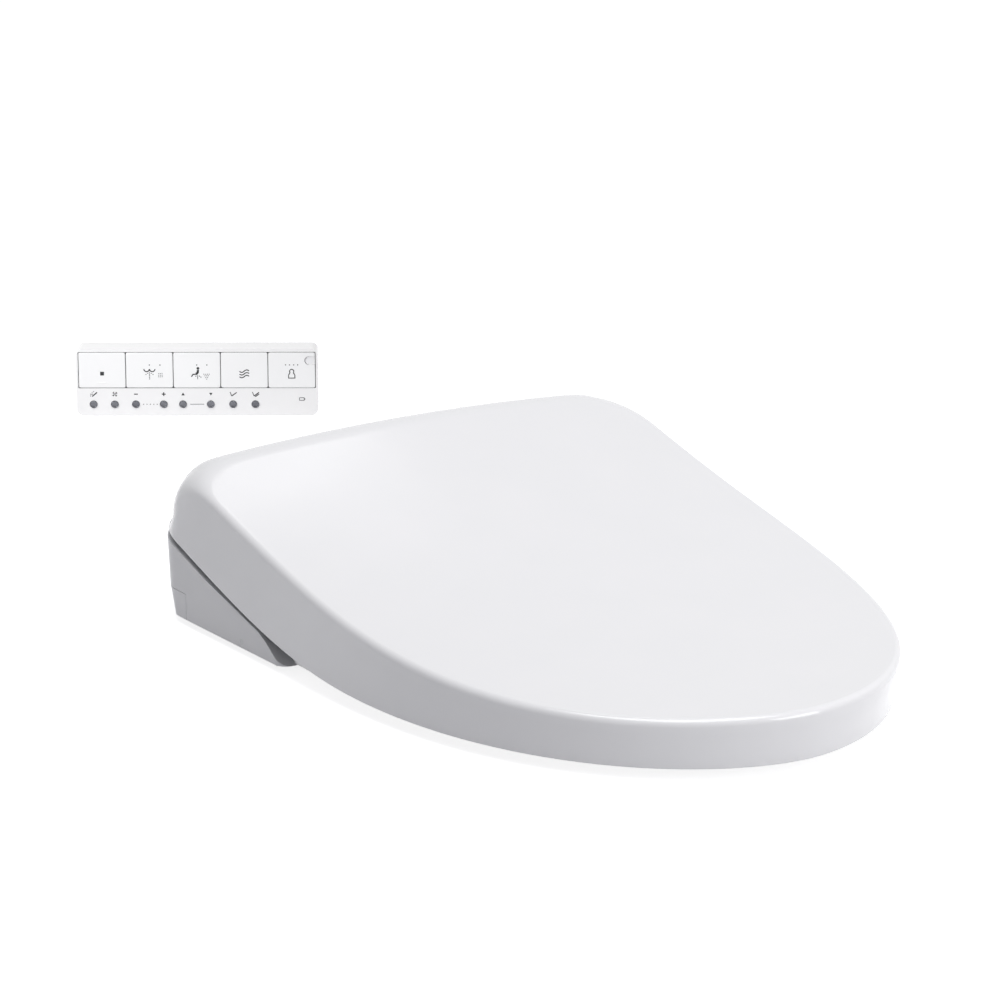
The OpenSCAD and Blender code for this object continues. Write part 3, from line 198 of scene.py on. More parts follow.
def rubber(name, colour, shade, gloss):
    """Matt rubber with a dusty, finely pitted skin."""
    material, tree = blank(name)
    place = add(tree, "ShaderNodeTexCoord")
    dust = add(tree, "ShaderNodeTexNoise", {"Vector": (place, "Object"), "Scale": 1 / 0.012,
                                            "Detail": 6.0, "Roughness": 0.7})
    tint = add(tree, "ShaderNodeValToRGB", {"Fac": (dust, "Fac")})
    tint.color_ramp.elements[0].position = 0.35
    tint.color_ramp.elements[0].color = linear(shade)
    tint.color_ramp.elements[1].position = 0.7
    tint.color_ramp.elements[1].color = linear(colour)
    rough = add(tree, "ShaderNodeMapRange", {"Value": (dust, "Fac"), "To Min": gloss * 0.9,
                                             "To Max": min(gloss * 1.15, 1)})
    pits = add(tree, "ShaderNodeTexVoronoi", {"Vector": (place, "Object"), "Scale": 1 / 0.0008})
    bump = add(tree, "ShaderNodeBump", {"Height": (pits, "Distance"), "Strength": 0.6,
                                        "Distance": 0.05 * MM})
    shader = add(tree, "ShaderNodeBsdfPrincipled",
                 {"Base Color": (tint, "Color"), "Roughness": (rough, "Result"),
                  "Normal": (bump, "Normal"), "IOR": 1.52, "Sheen Weight": 0.12})
    add(tree, "ShaderNodeOutputMaterial", {"Surface": (shader, "BSDF")})
    return material


foot_rubber = rubber("grey foot rubber", "#6E7074", "#5C5E62", 0.8)
pad_rubber = rubber("white bumper elastomer", "#D9D9D6", "#CCCCC9", 0.62)
hose_rubber = rubber("milky hose silicone", "#AEBBC2", "#9AA8B0", 0.45)
keypad_rubber = rubber("grey keypad silicone", "#7C7F84", "#6C6F74", 0.7)

# %% [markdown]
# ## Metals
# The tank, the pins and the battery springs are stainless steel with fine brush lines, the
# water inlet is turned brass, and the small round buttons wear a dark chrome plate. Brushing
# is a noise stretched a hundred times along one direction: it shifts roughness and bump, and
# leaves the colour nearly alone.

# %% Metals


def brushed(name, colour, shade, gloss, stretch, line_mm=0.35, depth_mm=0.006):
    """Metal with brush lines along one axis, which stretch gives as a scale per axis."""
    material, tree = blank(name)
    place = add(tree, "ShaderNodeTexCoord")
    along = add(tree, "ShaderNodeMapping", {"Vector": (place, "Object"), "Scale": stretch})
    lines = add(tree, "ShaderNodeTexNoise", {"Vector": (along, "Vector"),
                                             "Scale": 1 / (line_mm * MM), "Detail": 3.0})
    stain = add(tree, "ShaderNodeTexNoise", {"Vector": (place, "Object"), "Scale": 1 / 0.02,
                                             "Detail": 4.0})
    tint = add(tree, "ShaderNodeValToRGB", {"Fac": (stain, "Fac")})
    tint.color_ramp.elements[0].position = 0.3
    tint.color_ramp.elements[0].color = linear(shade)
    tint.color_ramp.elements[1].position = 0.7
    tint.color_ramp.elements[1].color = linear(colour)
    rough = add(tree, "ShaderNodeMapRange", {"Value": (lines, "Fac"), "From Min": 0.3,
                                             "From Max": 0.7, "To Min": gloss * 0.8,
                                             "To Max": gloss * 1.25})
    bump = add(tree, "ShaderNodeBump", {"Height": (lines, "Fac"), "Strength": 0.7,
                                        "Distance": depth_mm * MM})
    shader = add(tree, "ShaderNodeBsdfPrincipled",
                 {"Base Color": (tint, "Color"), "Metallic": 1.0,
                  "Roughness": (rough, "Result"), "Normal": (bump, "Normal")})
    add(tree, "ShaderNodeOutputMaterial", {"Surface": (shader, "BSDF")})
    return material


tank_steel = brushed("brushed stainless tank steel", "#C9CACC", "#BABBBE", 0.32, (1, 1, 0.02))
pin_steel = brushed("turned stainless pin steel", "#D0D1D3", "#C2C3C6", 0.22, (1, 0.02, 0.02))
damper_zinc = brushed("passivated zinc damper", "#8E9196", "#7C7F85", 0.42, (0.05, 1, 1))
inlet_brass = brushed("turned brass", "#D8B46A", "#C9A259", 0.25, (0.05, 1, 0.05))
heater_foil = brushed("heater foil", "#D9B37C", "#CBA26B", 0.35, (1, 0.05, 1))
button_chrome = brushed("dark chrome plate", "#6F7075", "#5E5F64", 0.16, (1, 1, 1), 1.5, 0.004)

# %% [markdown]
# ## Skins made of rings
# The lid and the seat are soft shapes with one closed outline. The simplest exact way to
# make them is to write the outline once and repeat it, ring after ring, from the middle of
# the top over the rounded edge and down the wall. The rings share their point order, so
# quads join neighbours, and the finished skin shades smoothly with no modifier at all.

# %% Ring helpers


def new_piece(name, verts, faces, material, smooth=True):
    """A mesh object from points in millimetres."""
    mesh = bpy.data.meshes.new(name)
    mesh.from_pydata([tuple(float(c) * MM for c in v) for v in verts], [], faces)
    mesh.validate()
    bm = bmesh.new()
    bm.from_mesh(mesh)
    bmesh.ops.recalc_face_normals(bm, faces=bm.faces)
    bm.to_mesh(mesh)
    bm.free()
    mesh.polygons.foreach_set("use_smooth", [smooth] * len(mesh.polygons))
    piece = bpy.data.objects.new(name, mesh)
    piece.data.materials.append(material)
    bpy.context.scene.collection.objects.link(piece)
    return piece


def ring_skin(name, rings, material, loop=False, caps=True):
    """Joins rings of equal length with quads. loop joins the last ring to the first."""
    count, n = len(rings), len(rings[0])
    verts = [p for r in rings for p in r]
    faces = []
    for j in range(count if loop else count - 1):
        k = (j + 1) % count
        faces += [(j * n + i, j * n + (i + 1) % n, k * n + (i + 1) % n, k * n + i)
                  for i in range(n)]
    if caps and not loop:
        faces += [tuple(range(n)), tuple((count - 1) * n + i for i in range(n))]
    return new_piece(name, verts, faces, material)


def mix(a, b, t):
    return a + (b - a) * t


# %% [markdown]
# ## The lid's outline and height
# Seen from above, the lid is a long U: straight across the rear, round rear corners, and
# sides that run into a full superellipse at the front. Its top falls from the rear to the tip
# on one cubic curve, and a slight crown drops the sides at the rear. The width, the length
# and the rear edge are given as numbers, and the imported piece's box is printed beside them.

# %% Lid outline
lid_low, lid_high = [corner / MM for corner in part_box("lid_shell")]
REAR, HALF = 60.0, 191.5
FRONT = 470.0
print("lid from", [round(v, 1) for v in lid_low], "to", [round(v, 1) for v in lid_high])
STEPS = (14, 24, 36, 64)               # rear, corner, side and tip
LEVELS = (133.0, 78.8, 36.4, 44.2)     # the top's height curve: rear, two pulls, tip
CROWN = 9.5                            # how far the sides of the rear lie below its middle
WIDEST = -131.0                        # where the straight sides end
EDGE_LOW, EDGE_SLOPE = 7.9, 0.33       # the lower edge: its height in front, slope at the rear
EDGE_BEND, EDGE_EASE = -126.0, 45.0    # where it turns upward, and how gently


def half_outline(steps, w, rear, corner, wide, front, side_power=1.82, tip_power=2.62):
    """Right half of a plan outline, from the rear middle round to the front tip."""
    rear_steps, corner_steps, side_steps, tip_steps = steps
    points = [((w - corner) * i / rear_steps, rear) for i in range(rear_steps)]
    for i in range(corner_steps + 1):
        a = math.radians(90 - 90 * i / corner_steps)
        points.append((w - corner + corner * math.cos(a), rear - corner + corner * math.sin(a)))
    points += [(w, mix(rear - corner, wide, (i / side_steps) ** 1.3))
               for i in range(1, side_steps)]
    for i in range(tip_steps + 1):
        a = math.radians(90 * (i / tip_steps) ** 1.3)
        points.append((w * max(math.cos(a), 0) ** (2 / side_power),
                       wide - (wide + front) * math.sin(a) ** (2 / tip_power)))
    return points


def closed(half):
    """The full outline and its outward directions, as arrays."""
    loop = np.array(half + [(-x, y) for x, y in half[-2:0:-1]])
    along = np.roll(loop, -1, 0) - np.roll(loop, 1, 0)
    out = np.stack([-along[:, 1], along[:, 0]], 1)
    return loop, out / np.linalg.norm(out, axis=1)[:, None]


def top_height(p):
    """Height of the lid's top over plan points."""
    t = (REAR - p[:, 1]) / (REAR + FRONT)
    rear, rear_pull, tip_pull, tip = LEVELS
    side = (rear * (1 - t) ** 3 + 3 * rear_pull * t * (1 - t) ** 2
            + 3 * tip_pull * t * t * (1 - t) + tip * t ** 3)
    return side - CROWN * (1 - t) * (p[:, 0] / HALF) ** 2


def edge_height(y):
    """Height of the lid's lower edge: level in front, then rising beside the base."""
    return EDGE_LOW + EDGE_SLOPE * EDGE_EASE * np.log1p(np.exp((y - EDGE_BEND) / EDGE_EASE))


# %% [markdown]
# ## Where the top turns into the wall
# At the sides a fillet of 5 mm joins top and wall. Along the rear the top rolls over in a
# deep, hand-wide curve instead, and at the rear corners one melts into the other. So the
# line where the top ends lies close beside the wall, but well inside it at the rear, with
# rounder corners of its own. In a corner, its points lie on rays from the middle of that
# rounder arc, so no ring ever folds back, and the further the edge reaches in, the taller
# it grows.

# %% Wall, rounding and top
FILLET, CORNER = 5.0, 32.5             # the small edge at the sides, the plan's rear corners
REAR_LEAN, TIP_FLARE = 3.3, 5.4        # the wall leans in at the rear and out at the tip
ROUND_IN, ROUND_H = 36.0, 45.0         # the rear rounding's reach and height beyond FILLET
ROUND_POWER, ARC = 1.6, 43.5           # how late it grows, the top's own corner radius
foot, outward = closed(half_outline(STEPS, HALF, REAR, CORNER, WIDEST, FRONT))
forward = (REAR - foot[:, 1]) / (REAR + FRONT)
lean = mix(-TIP_FLARE, REAR_LEAN, np.clip(1 - forward, 0, 1))
rear_y = REAR - FILLET - ROUND_IN - REAR_LEAN
arc_y = rear_y - ARC
arc_x = HALF - FILLET - mix(REAR_LEAN, -TIP_FLARE, (REAR - arc_y) / (REAR + FRONT)) - ARC
wall_top = foot - lean[:, None] * outward
ray = np.c_[np.abs(wall_top[:, 0]) - arc_x, wall_top[:, 1] - arc_y]
on_arc = ARC * ray / np.linalg.norm(ray, axis=1)[:, None] + (arc_x, arc_y)
on_arc[:, 0] *= np.sign(wall_top[:, 0])
behind, in_corner = ray[:, 1] > 0, (ray > 0).all(axis=1)
top_edge = wall_top - FILLET * outward
top_edge[behind] = np.c_[wall_top[behind, 0], np.full(behind.sum(), rear_y)]
top_edge[in_corner] = on_arc[in_corner]
round_in = np.linalg.norm(wall_top - top_edge, axis=1) - FILLET
round_up = FILLET + ROUND_H * np.clip(round_in / ROUND_IN, 0, 1) ** ROUND_POWER


def lid_wall(d, t):
    """Ring of the wall, d inside its face, at share t of its height."""
    base = foot - d * outward
    p = base - (lean * t)[:, None] * outward
    low = edge_height(base[:, 1])
    return np.c_[p, mix(low, top_height(p) - round_up, t)]


def lid_round(d, angle):
    """Ring of the rounded edge, at an angle above the wall."""
    start = foot - (d + lean)[:, None] * outward
    p = mix(start, top_edge, 1 - math.cos(angle))
    return np.c_[p, top_height(p) - round_up + (round_up - d) * math.sin(angle)]


def lid_top(d, k, drop):
    """Ring of the top, shrunk by k towards the middle."""
    p = np.c_[top_edge[:, 0] * k, mix((REAR - FRONT) / 2, top_edge[:, 1], k)]
    return np.c_[p, top_height(p) - drop]


# %% [markdown]
# ## The lid's shell
# The shell is 3 mm thick everywhere. The top runs out to a rounding of 5 mm at the sides and
# a much larger one along the rear, and the wall ends below in a lip with its own small
# radius, the line where a polished mould parts. The same rings, moved in by the wall's
# thickness, make the inside.

# %% Lid shell
WALL = 3.0
shares = [0.004, 0.06, 0.14, 0.24, 0.36, 0.48, 0.6, 0.7, 0.79, 0.86, 0.92, 0.96, 0.985]
turns = [math.radians(a) for a in range(90, -1, -6)]
lid_rings = [lid_top(0, k, 0) for k in shares] + [lid_round(0, a) for a in turns]
lid_rings += [lid_wall(0, t) for t in (0.8, 0.6, 0.4, 0.2)]
for a in np.radians([0, 20, 45, 70, 90]):        # outer half of the lip
    ring = lid_wall(0.9 * (1 - math.cos(a)), 0)
    ring[:, 2] += 0.9 * (1 - math.sin(a))
    lid_rings.append(ring)
for a in np.radians([90, 60, 30, 0]):            # inner half of the lip
    ring = lid_wall(WALL - 0.6 * (1 - math.cos(a)), 0)
    ring[:, 2] += 0.6 * (1 - math.sin(a))
    lid_rings.append(ring)
lid_rings += [lid_wall(WALL, t) for t in (0.2, 0.5, 0.8)]
lid_rings += [lid_round(WALL, a) for a in reversed(turns)]
lid_rings += [lid_top(WALL, k, WALL) for k in reversed(shares)]
lid_skin = ring_skin("lid_skin", lid_rings, lid_white)
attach(lid_skin, "lid")
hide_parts("lid_shell")
print("lid skin:", len(lid_skin.data.polygons), "faces")

# %% [markdown]
# ## The lid's inner panel
# Under the lid a thin satin panel hides the ribs. It is the same family of rings, kept
# 3.3 mm under the outer top, and it ends in a soft rolled edge well inside the rounding.

# %% Lid liner
liner_shares = [0.004, 0.08, 0.2, 0.34, 0.48, 0.6, 0.7, 0.78, 0.84, 0.875]
upper = [lid_top(0, k, 3.3) for k in liner_shares]
under = [lid_top(0, k, 4.9) for k in reversed(liner_shares)]
rolled = lid_top(0, 0.88, 4.1)
lid_panel = ring_skin("lid_inner_panel", upper + [rolled] + under, liner_white)
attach(lid_panel, "lid")
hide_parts("lid_liner")

# %% [markdown]
# ## The seat ring
# The ring is two moulded halves that meet in a fine groove. Its upper half falls towards the
# hole and has a large outer radius and a smaller one at the hole, so that no edge is felt.
# The rings here are rails that run round between the outer edge and the hole.

# %% Seat outline
SEAT_REAR, SEAT_FRONT = -109.0, FRONT - 8
SEAT_HIGH, SEAT_RISE, SEAT_UNDER = 33, 13, 8.0     # top at the tip, its rise to the rear, underside
HOLE_X, HOLE_Y = 108, 131                          # half the hole's width and length
seat_edge, _ = closed(half_outline((16, 14, 3, 70), HALF - 8, SEAT_REAR, 18,
                                   SEAT_REAR - 21, SEAT_FRONT))
hole_mid = np.array([0.0, -268.0])
ray = seat_edge - hole_mid
bearing = np.arctan2(ray[:, 1], ray[:, 0])
reach = 1 / np.hypot(np.cos(bearing) / HOLE_X, np.sin(bearing) / HOLE_Y)
hole_edge = hole_mid + np.c_[reach * np.cos(bearing), reach * np.sin(bearing)]
inward = hole_edge - seat_edge
inward /= np.linalg.norm(inward, axis=1)[:, None]


def seat_top(y):
    """Height of the ring's top: lowest at the tip, rising to the rear."""
    return SEAT_HIGH + SEAT_RISE * ((y + FRONT) / (SEAT_REAR + FRONT)) ** 2


def rail(d, drop=None, z=None, hole=False, share=None):
    """Ring d in from the outer edge or the hole, or at a share between; drop or fixed z."""
    if share is not None:
        p = mix(seat_edge, hole_edge, share)
    else:
        p = hole_edge - d * inward if hole else seat_edge + d * inward
    return np.c_[p, np.full(len(p), z) if z is not None else seat_top(p[:, 1]) - drop]


# %% Seat ring, upper half
SPLIT, SKIN = 17.0, 2.5                # height of the groove, and the wall's thickness
OUT_R, IN_R, DIP = 9.0, 7.0, 6.0       # edge radii outside and at the hole, fall between them
quarter = np.radians([0, 12, 25, 38, 52, 65, 78, 90])
upper_rails = [rail(0.5, z=SPLIT + 0.25), rail(0.12, z=SPLIT + 0.5), rail(0, z=SPLIT + 1.2)]
upper_rails += [rail(OUT_R * (1 - math.cos(a)), OUT_R * (1 - math.sin(a))) for a in quarter]
upper_rails += [rail(0, 0.12, share=0.3), rail(0, 0.7, share=0.45), rail(0, 1.7, share=0.6),
                rail(0, 3.3, share=0.74)]
upper_rails += [rail(IN_R * (1 - math.cos(a)), DIP + IN_R * (1 - math.sin(a)), hole=True)
                for a in reversed(quarter)]
upper_rails += [rail(0, z=SPLIT + 1.2, hole=True), rail(0.12, z=SPLIT + 0.5, hole=True),
                rail(0.5, z=SPLIT + 0.25, hole=True)]
seat_skin = ring_skin("seat_ring_top", upper_rails + [rail(SKIN, z=SPLIT + 0.25, hole=True),
                                                      rail(SKIN, z=SPLIT + 0.25)],
                      seat_white, loop=True)
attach(seat_skin, "seat")
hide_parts("seat_shell")

# %% Seat ring, lower half
PAN_R = 3
lower_rails = [rail(0.5, z=SPLIT - 0.05), rail(0.12, z=SPLIT - 0.3), rail(0, z=SPLIT - 1)]
lower_rails += [rail(PAN_R * (1 - math.cos(a)), z=SEAT_UNDER + PAN_R * (1 - math.sin(a)))
                for a in np.radians([0, 30, 60, 90])]
lower_rails += [rail(PAN_R * (1 - math.cos(a)), z=SEAT_UNDER + PAN_R * (1 - math.sin(a)),
                     hole=True) for a in np.radians([90, 60, 30, 0])]
lower_rails += [rail(0, z=SPLIT - 1, hole=True), rail(0.12, z=SPLIT - 0.3, hole=True),
                rail(0.5, z=SPLIT - 0.05, hole=True)]
seat_pan = ring_skin("seat_ring_pan", lower_rails, seat_white, loop=True)
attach(seat_pan, "seat")
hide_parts("seat_base")
print("seat ring:", len(seat_skin.data.polygons) + len(seat_pan.data.polygons), "faces")

# %% [markdown]
# ## Softening the engineered pieces
# The casing, arms, keys and caps are exact solids with sharp edges, and no moulded piece has
# those. Each one is copied, its coplanar triangles are merged back into faces, and every
# sharp edge gets the small radius of its mould. A weighted normal keeps the flats flat.

# %% Softening helper


def softened(node, name, rules, material, reshape=None):
    """A copy of a node with rounded edges. Each rule: (which edges, radius mm, steps)."""
    bm = bmesh.new()
    bm.from_mesh(frame["nodes"][node].data)
    bmesh.ops.remove_doubles(bm, verts=bm.verts, dist=2e-6)
    bmesh.ops.dissolve_limit(bm, angle_limit=math.radians(0.6), verts=bm.verts, edges=bm.edges)
    for chosen, radius, steps in rules:
        sharp = [e for e in bm.edges if len(e.link_faces) == 2
                 and e.calc_face_angle(0) > math.radians(34)
                 and chosen(*((e.verts[0].co + e.verts[1].co) / 2 / MM))]
        bmesh.ops.bevel(bm, geom=sharp, offset=radius * MM, offset_type="OFFSET",
                        segments=steps, profile=0.5, affect="EDGES", clamp_overlap=True)
    bmesh.ops.recalc_face_normals(bm, faces=bm.faces)
    if reshape:
        for vert in bm.verts:
            vert.co = Vector(reshape(*(vert.co / MM))) * MM
    mesh = bpy.data.meshes.new(name)
    bm.to_mesh(mesh)
    bm.free()
    mesh.polygons.foreach_set("use_smooth", [True] * len(mesh.polygons))
    mesh.set_sharp_from_angle(angle=math.radians(40))
    mesh.materials.append(material)
    piece = bpy.data.objects.new(name, mesh)
    bpy.context.scene.collection.objects.link(piece)
    weighted = piece.modifiers.new("flat stays flat", "WEIGHTED_NORMAL")
    weighted.keep_sharp = True
    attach(piece, frame["nodes"][node]["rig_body"])
    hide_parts(node)
    return piece


def anywhere(x, y, z):
    return True


# %% [markdown]
# ## The base
# Beside the lid only the casing's side wall shows, flush with the lid and parted from it by
# a shadow gap. With the lid up, the deck, the raised housing and the wash wand's mouth come
# into view. All of it is one satin moulding, with a small cover let in at a rear corner.

# %% Base pieces


def under_lid(x, y, z):
    """True for the casing's long upper edges, which follow the lid's lower edge."""
    return abs(x) > HALF - 6 and z > 9 and y < 50


def ramp(value, low, high):
    """0 below low, 1 above high, with soft ends."""
    t = min(max((value - low) / (high - low), 0), 1)
    return t * t * (3 - 2 * t)


CORNER_OUT, CORNER_DRAW = 2.6, 11      # how far the corners move out, and their foot inward
DRAW_TOP, DRAW_FULL = 32, 5            # the heights between which that draft grows


def full_corner(x, y, z):
    """Brings the casing's rear corners flush with the lid and draws their foot in."""
    out = CORNER_OUT * ramp(abs(x), 150, 180) * ramp(y, -60, 10)
    share = min(max((DRAW_TOP - z) / (DRAW_TOP - DRAW_FULL), 0), 1)
    draw = CORNER_DRAW * ramp(abs(x), 135, 165) * ramp(y, 10, 50) * share
    return x + math.copysign(out, x), y - draw, z


softened("upper_casing", "base_casing", [(under_lid, 3.6, 5), (anywhere, 1.1, 3)], base_white,
         full_corner)
softened("corner_cover", "rear_corner_cover", [(anywhere, 0.35, 2)], base_white,
         full_corner)
softened("side_plugs", "side_screw_plugs", [(anywhere, 0.4, 3)], liner_white)
softened("base_plate", "underside_plate", [(anywhere, 0.5, 2)], frame_grey)
softened("mounting_bracket", "bolt_bracket", [(anywhere, 0.6, 3)], frame_dark)
softened("base_feet", "rim_feet", [(anywhere, 0.7, 3)], foot_rubber)
softened("filter_cartridge", "carbon_filter_drawer", [(anywhere, 0.6, 3)], liner_white)
softened("release_button", "release_catch", [(anywhere, 0.7, 3)], liner_white)
softened("dryer_flap", "warm_air_flap", [(anywhere, 0.5, 3)], base_white)
softened("seat_hinge_arms", "seat_arms", [(anywhere, 1.2, 3)], seat_white)
softened("lid_hinge_arms", "lid_arms", [(anywhere, 0.9, 3)], liner_white)
softened("seat_pads", "seat_bumpers", [(anywhere, 1.4, 4)], pad_rubber)
softened("lid_pads", "lid_bumpers", [(anywhere, 1.4, 4)], pad_rubber)
softened("hinge_pins", "hinge_pin_caps", [(anywhere, 0.5, 3)], pin_steel)
softened("soft_close_dampers", "damper_bodies", [(anywhere, 0.6, 3)], damper_zinc)
softened("nozzle_head", "spray_nozzle", [(anywhere, 0.8, 4)], pin_steel)
softened("cord_gland", "cord_strain_relief", [(anywhere, 0.7, 3)], foot_rubber)

# %% [markdown]
# ## The hand control
# The control is a slim white case. Five large glossy key caps stand side by side in one
# window, and a row of eight small dark chrome buttons sits under them. The case has soft
# outer edges, the caps only a fine one, so a hairline shadow parts each from the next, and
# black strips in those gaps add painted shade.

# %% Hand control frame
CASE_W, CASE_H, CASE_D = 200.0, 57.0, 24.0
KEY_H, KEY_MARGIN = 30, 3


def middle(*nodes):
    """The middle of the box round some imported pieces."""
    boxes = [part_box(node) for node in nodes]
    low = [min(box[0][k] for box in boxes) for k in range(3)]
    high = [max(box[1][k] for box in boxes) for k in range(3)]
    return (Vector(low) + Vector(high)) / 2


spot = middle("remote_front_case", "remote_back_case")
REMOTE = Matrix.Translation((spot.x, spot.y, 0)) @ Matrix.Rotation(math.radians(-33), 4, "Z")
to_remote = REMOTE.inverted()
KEY_NAMES = ("stop", "rear_wash", "front_wash", "dryer", "user")
BUTTON_NAMES = ("clean", "fan", "minus", "plus", "up", "down", "lid", "seat")
KEY_X = [(to_remote @ middle("key_" + name)).x / MM for name in KEY_NAMES]
BUTTON_X = [(to_remote @ middle("button_" + name)).x / MM for name in BUTTON_NAMES]
print("hand control at", [round(v, 3) for v in spot], "buttons at", [round(x, 1) for x in BUTTON_X])


def on_outline(x, y, z):
    """True for the case's outer edges, front or back."""
    p = to_remote @ (Vector((x, y, z)) * MM) / MM
    edge = min(CASE_W / 2 - abs(p.x), p.z, CASE_H - p.z)
    return edge < 2.2 and abs(abs(p.y) - CASE_D / 2) < 0.1


softened("remote_front_case", "control_front", [(on_outline, 1.7, 5)], remote_white)
softened("remote_back_case", "control_back", [(on_outline, 2.4, 5)], remote_white)
softened("battery_cover", "battery_lid", [(anywhere, 0.35, 2)], remote_white)
for name in KEY_NAMES:
    softened("key_" + name, "cap_" + name, [(anywhere, 0.5, 3)], key_white)
softened("remote_window", "infrared_window", [(anywhere, 0.4, 3)], window_pale)

# %% [markdown]
# ## Turned buttons
# The small buttons are turned and plated: a bright bevelled rim round a shallow dish. A
# profile of radius and depth, swept round the button's axis, gives both, and the two slopes
# catch the light on opposite sides, which is what makes them read as metal.

# %% Round buttons
DISH = [(0.01, -12.42), (0.9, -12.44), (1.7, -12.52), (2.15, -12.66), (2.3, -12.78), (2.5, -12.82),
        (2.7, -12.78), (2.95, -12.55), (3.0, -12.3), (3.0, -10.0), (3.8, -10.0), (3.8, -9.0),
        (2.0, -9.0), (2.0, -8.0), (0.01, -8.0)]


def turned(node, name, profile, material):
    """Sweeps (radius, depth) points round the axis of one packed button."""
    axis = to_remote @ middle(node) / MM
    around = np.linspace(0, 2 * math.pi, 40, endpoint=False)
    rings = [[REMOTE @ (Vector((axis.x + radius * math.cos(a), depth,
                                axis.z + radius * math.sin(a))) * MM) / MM for a in around]
             for radius, depth in profile]
    piece = ring_skin(name, rings, material)
    piece.data.set_sharp_from_angle(angle=math.radians(50))
    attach(piece, frame["nodes"][node]["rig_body"])
    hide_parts(node)
    return piece


for name in BUTTON_NAMES:
    turned("button_" + name, "round_" + name, DISH, button_chrome)

# %% [markdown]
# ## Printed signs
# Each key carries a plain grey sign, pad-printed on the cap. A sign is drawn as thin flat
# shapes 0.08 mm proud of the plastic: thick enough for the light to find, far too thin to
# see from the side. Strokes are drawn as narrow bands along a line of points.

# %% Sign helpers
FACE = -CASE_D / 2 - 0.5                # the front of the key caps, in the control's frame


def band_points(points, width):
    """Outline of a stroke of a given width along points, with square ends."""
    p = np.array(points, float)
    along = np.gradient(p, axis=0)
    along /= np.linalg.norm(along, axis=1)[:, None]
    side = np.stack([-along[:, 1], along[:, 0]], 1) * width / 2
    return np.vstack([p + side, (p - side)[::-1]])


def disc(x, z, r, n=28):
    a = np.linspace(0, 2 * math.pi, n, endpoint=False)
    return np.stack([x + r * np.cos(a), z + r * np.sin(a)], 1)


def bow(x, z, r, start, end, n=18):
    a = np.radians(np.linspace(start, end, n))
    return np.stack([x + r * np.cos(a), z + r * np.sin(a)], 1)


def printed(name, shapes, body, depth=FACE, proud=0.08, ink=print_and_gap_shade_ink):
    """Flat shapes, drawn as [x, z] outlines, on the front of the hand control."""
    bm = bmesh.new()
    for shape in shapes:
        low = [bm.verts.new(REMOTE @ (Vector((x, depth + 0.02, z)) * MM)) for x, z in shape]
        top = [bm.verts.new(REMOTE @ (Vector((x, depth - proud, z)) * MM)) for x, z in shape]
        bm.faces.new(top)
        n = len(shape)
        for i in range(n):
            bm.faces.new((low[i], low[(i + 1) % n], top[(i + 1) % n], top[i]))
    bmesh.ops.recalc_face_normals(bm, faces=bm.faces)
    mesh = bpy.data.meshes.new(name)
    bm.to_mesh(mesh)
    bm.free()
    mesh.materials.append(ink)
    piece = bpy.data.objects.new(name, mesh)
    bpy.context.scene.collection.objects.link(piece)
    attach(piece, body)
    return piece


def bar(x0, z0, x1, z1, w=0.7):
    return band_points([(x0, z0), (x1, z1)], w)


def dots(places, r=0.42):
    return [disc(x, z, r, 12) for x, z in places]


# %% Signs on the large keys
# Each sign is drawn round the middle of its key, the small lamps' dots 4.5 mm above it.
KEY_Z = CASE_H - KEY_MARGIN - KEY_H / 2


def key_sign(i, name, shapes):
    placed = [np.asarray(s, float) + [KEY_X[i], KEY_Z] for s in shapes]
    return printed("sign_" + name, placed, f"key_{KEY_NAMES[i]}_body")


key_sign(0, "stop", [[(-1.6, -4.4), (1.6, -4.4), (1.6, -1.2), (-1.6, -1.2)]])
hips = [band_points(bow(x, 1.2, 2.3, 185, 355), 0.9) for x in (-2.3, 2.3)]
jet = dots([(0, z) for z in (-2.2, -3.5, -4.8, -6.1, -7.4)])
jet += dots([(-1.5, -2.6), (1.5, -2.6), (-2.9, -3.5), (2.9, -3.5)])
mist = dots([(x, z) for x in (7.6, 9, 10.4) for z in (-2.8, -4.2, -5.6)], 0.38)
key_sign(1, "rear_wash", hips + jet + mist + dots([(0, 4.5), (8.8, 4.5)], 0.5))
sitter = [disc(0.9, 1.6, 1.15), band_points([(0.9, 0.2), (0.7, -2.0), (-0.6, -3.2)], 1.9),
          band_points([(0.4, -3.4), (-3.2, -3.5), (-4.6, -5.6)], 1.0)]
jet = dots([(0.6, z) for z in (-4.9, -6.1, -7.3)]) + dots([(-0.9, -5.1), (2.1, -5.1), (3.3, -5.9)])
fan_mist = dots([(8 + x, -3.4 - abs(z)) for x, z in
                 [(-2.2, 0), (-0.7, 0), (0.7, 0), (2.2, 0), (-1.4, 1.4), (0, 1.4), (1.4, 1.4),
                  (-0.7, 2.8), (0.7, 2.8), (0, 4.2)]], 0.38)
key_sign(2, "front_wash", sitter + jet + fan_mist + dots([(0, 4.5), (8.4, 4.5)], 0.5))
waves = []
for row in (-5.4, -3.1, -0.8):
    run = np.linspace(-4, 4, 25)
    waves.append(band_points(np.stack([run, row + 0.8 * np.sin(run * 0.85)
                                       + 0.12 * run], 1), 0.8))
key_sign(3, "dryer", waves)
figure = [band_points(bow(0, -1.0, 1.7, -40, 220, 24), 0.75),
          band_points([(-1.3, -2.1), (-2.6, -4.2), (-2.6, -6.8)], 0.75),
          band_points([(1.3, -2.1), (2.6, -4.2), (2.6, -6.8)], 0.75), bar(-2.97, -6.8, 2.97, -6.8)]
key_sign(4, "user", figure + dots([(-5, 4.5), (-1.7, 4.5), (1.7, 4.5), (5, 4.5)], 0.5))
bump_bar = band_points(bow(0, 22, 33, 263, 277), 0.9) + [KEY_X[0], KEY_Z]
printed("touch_mark", [bump_bar], "key_stop_body", proud=0.25, ink=key_white)
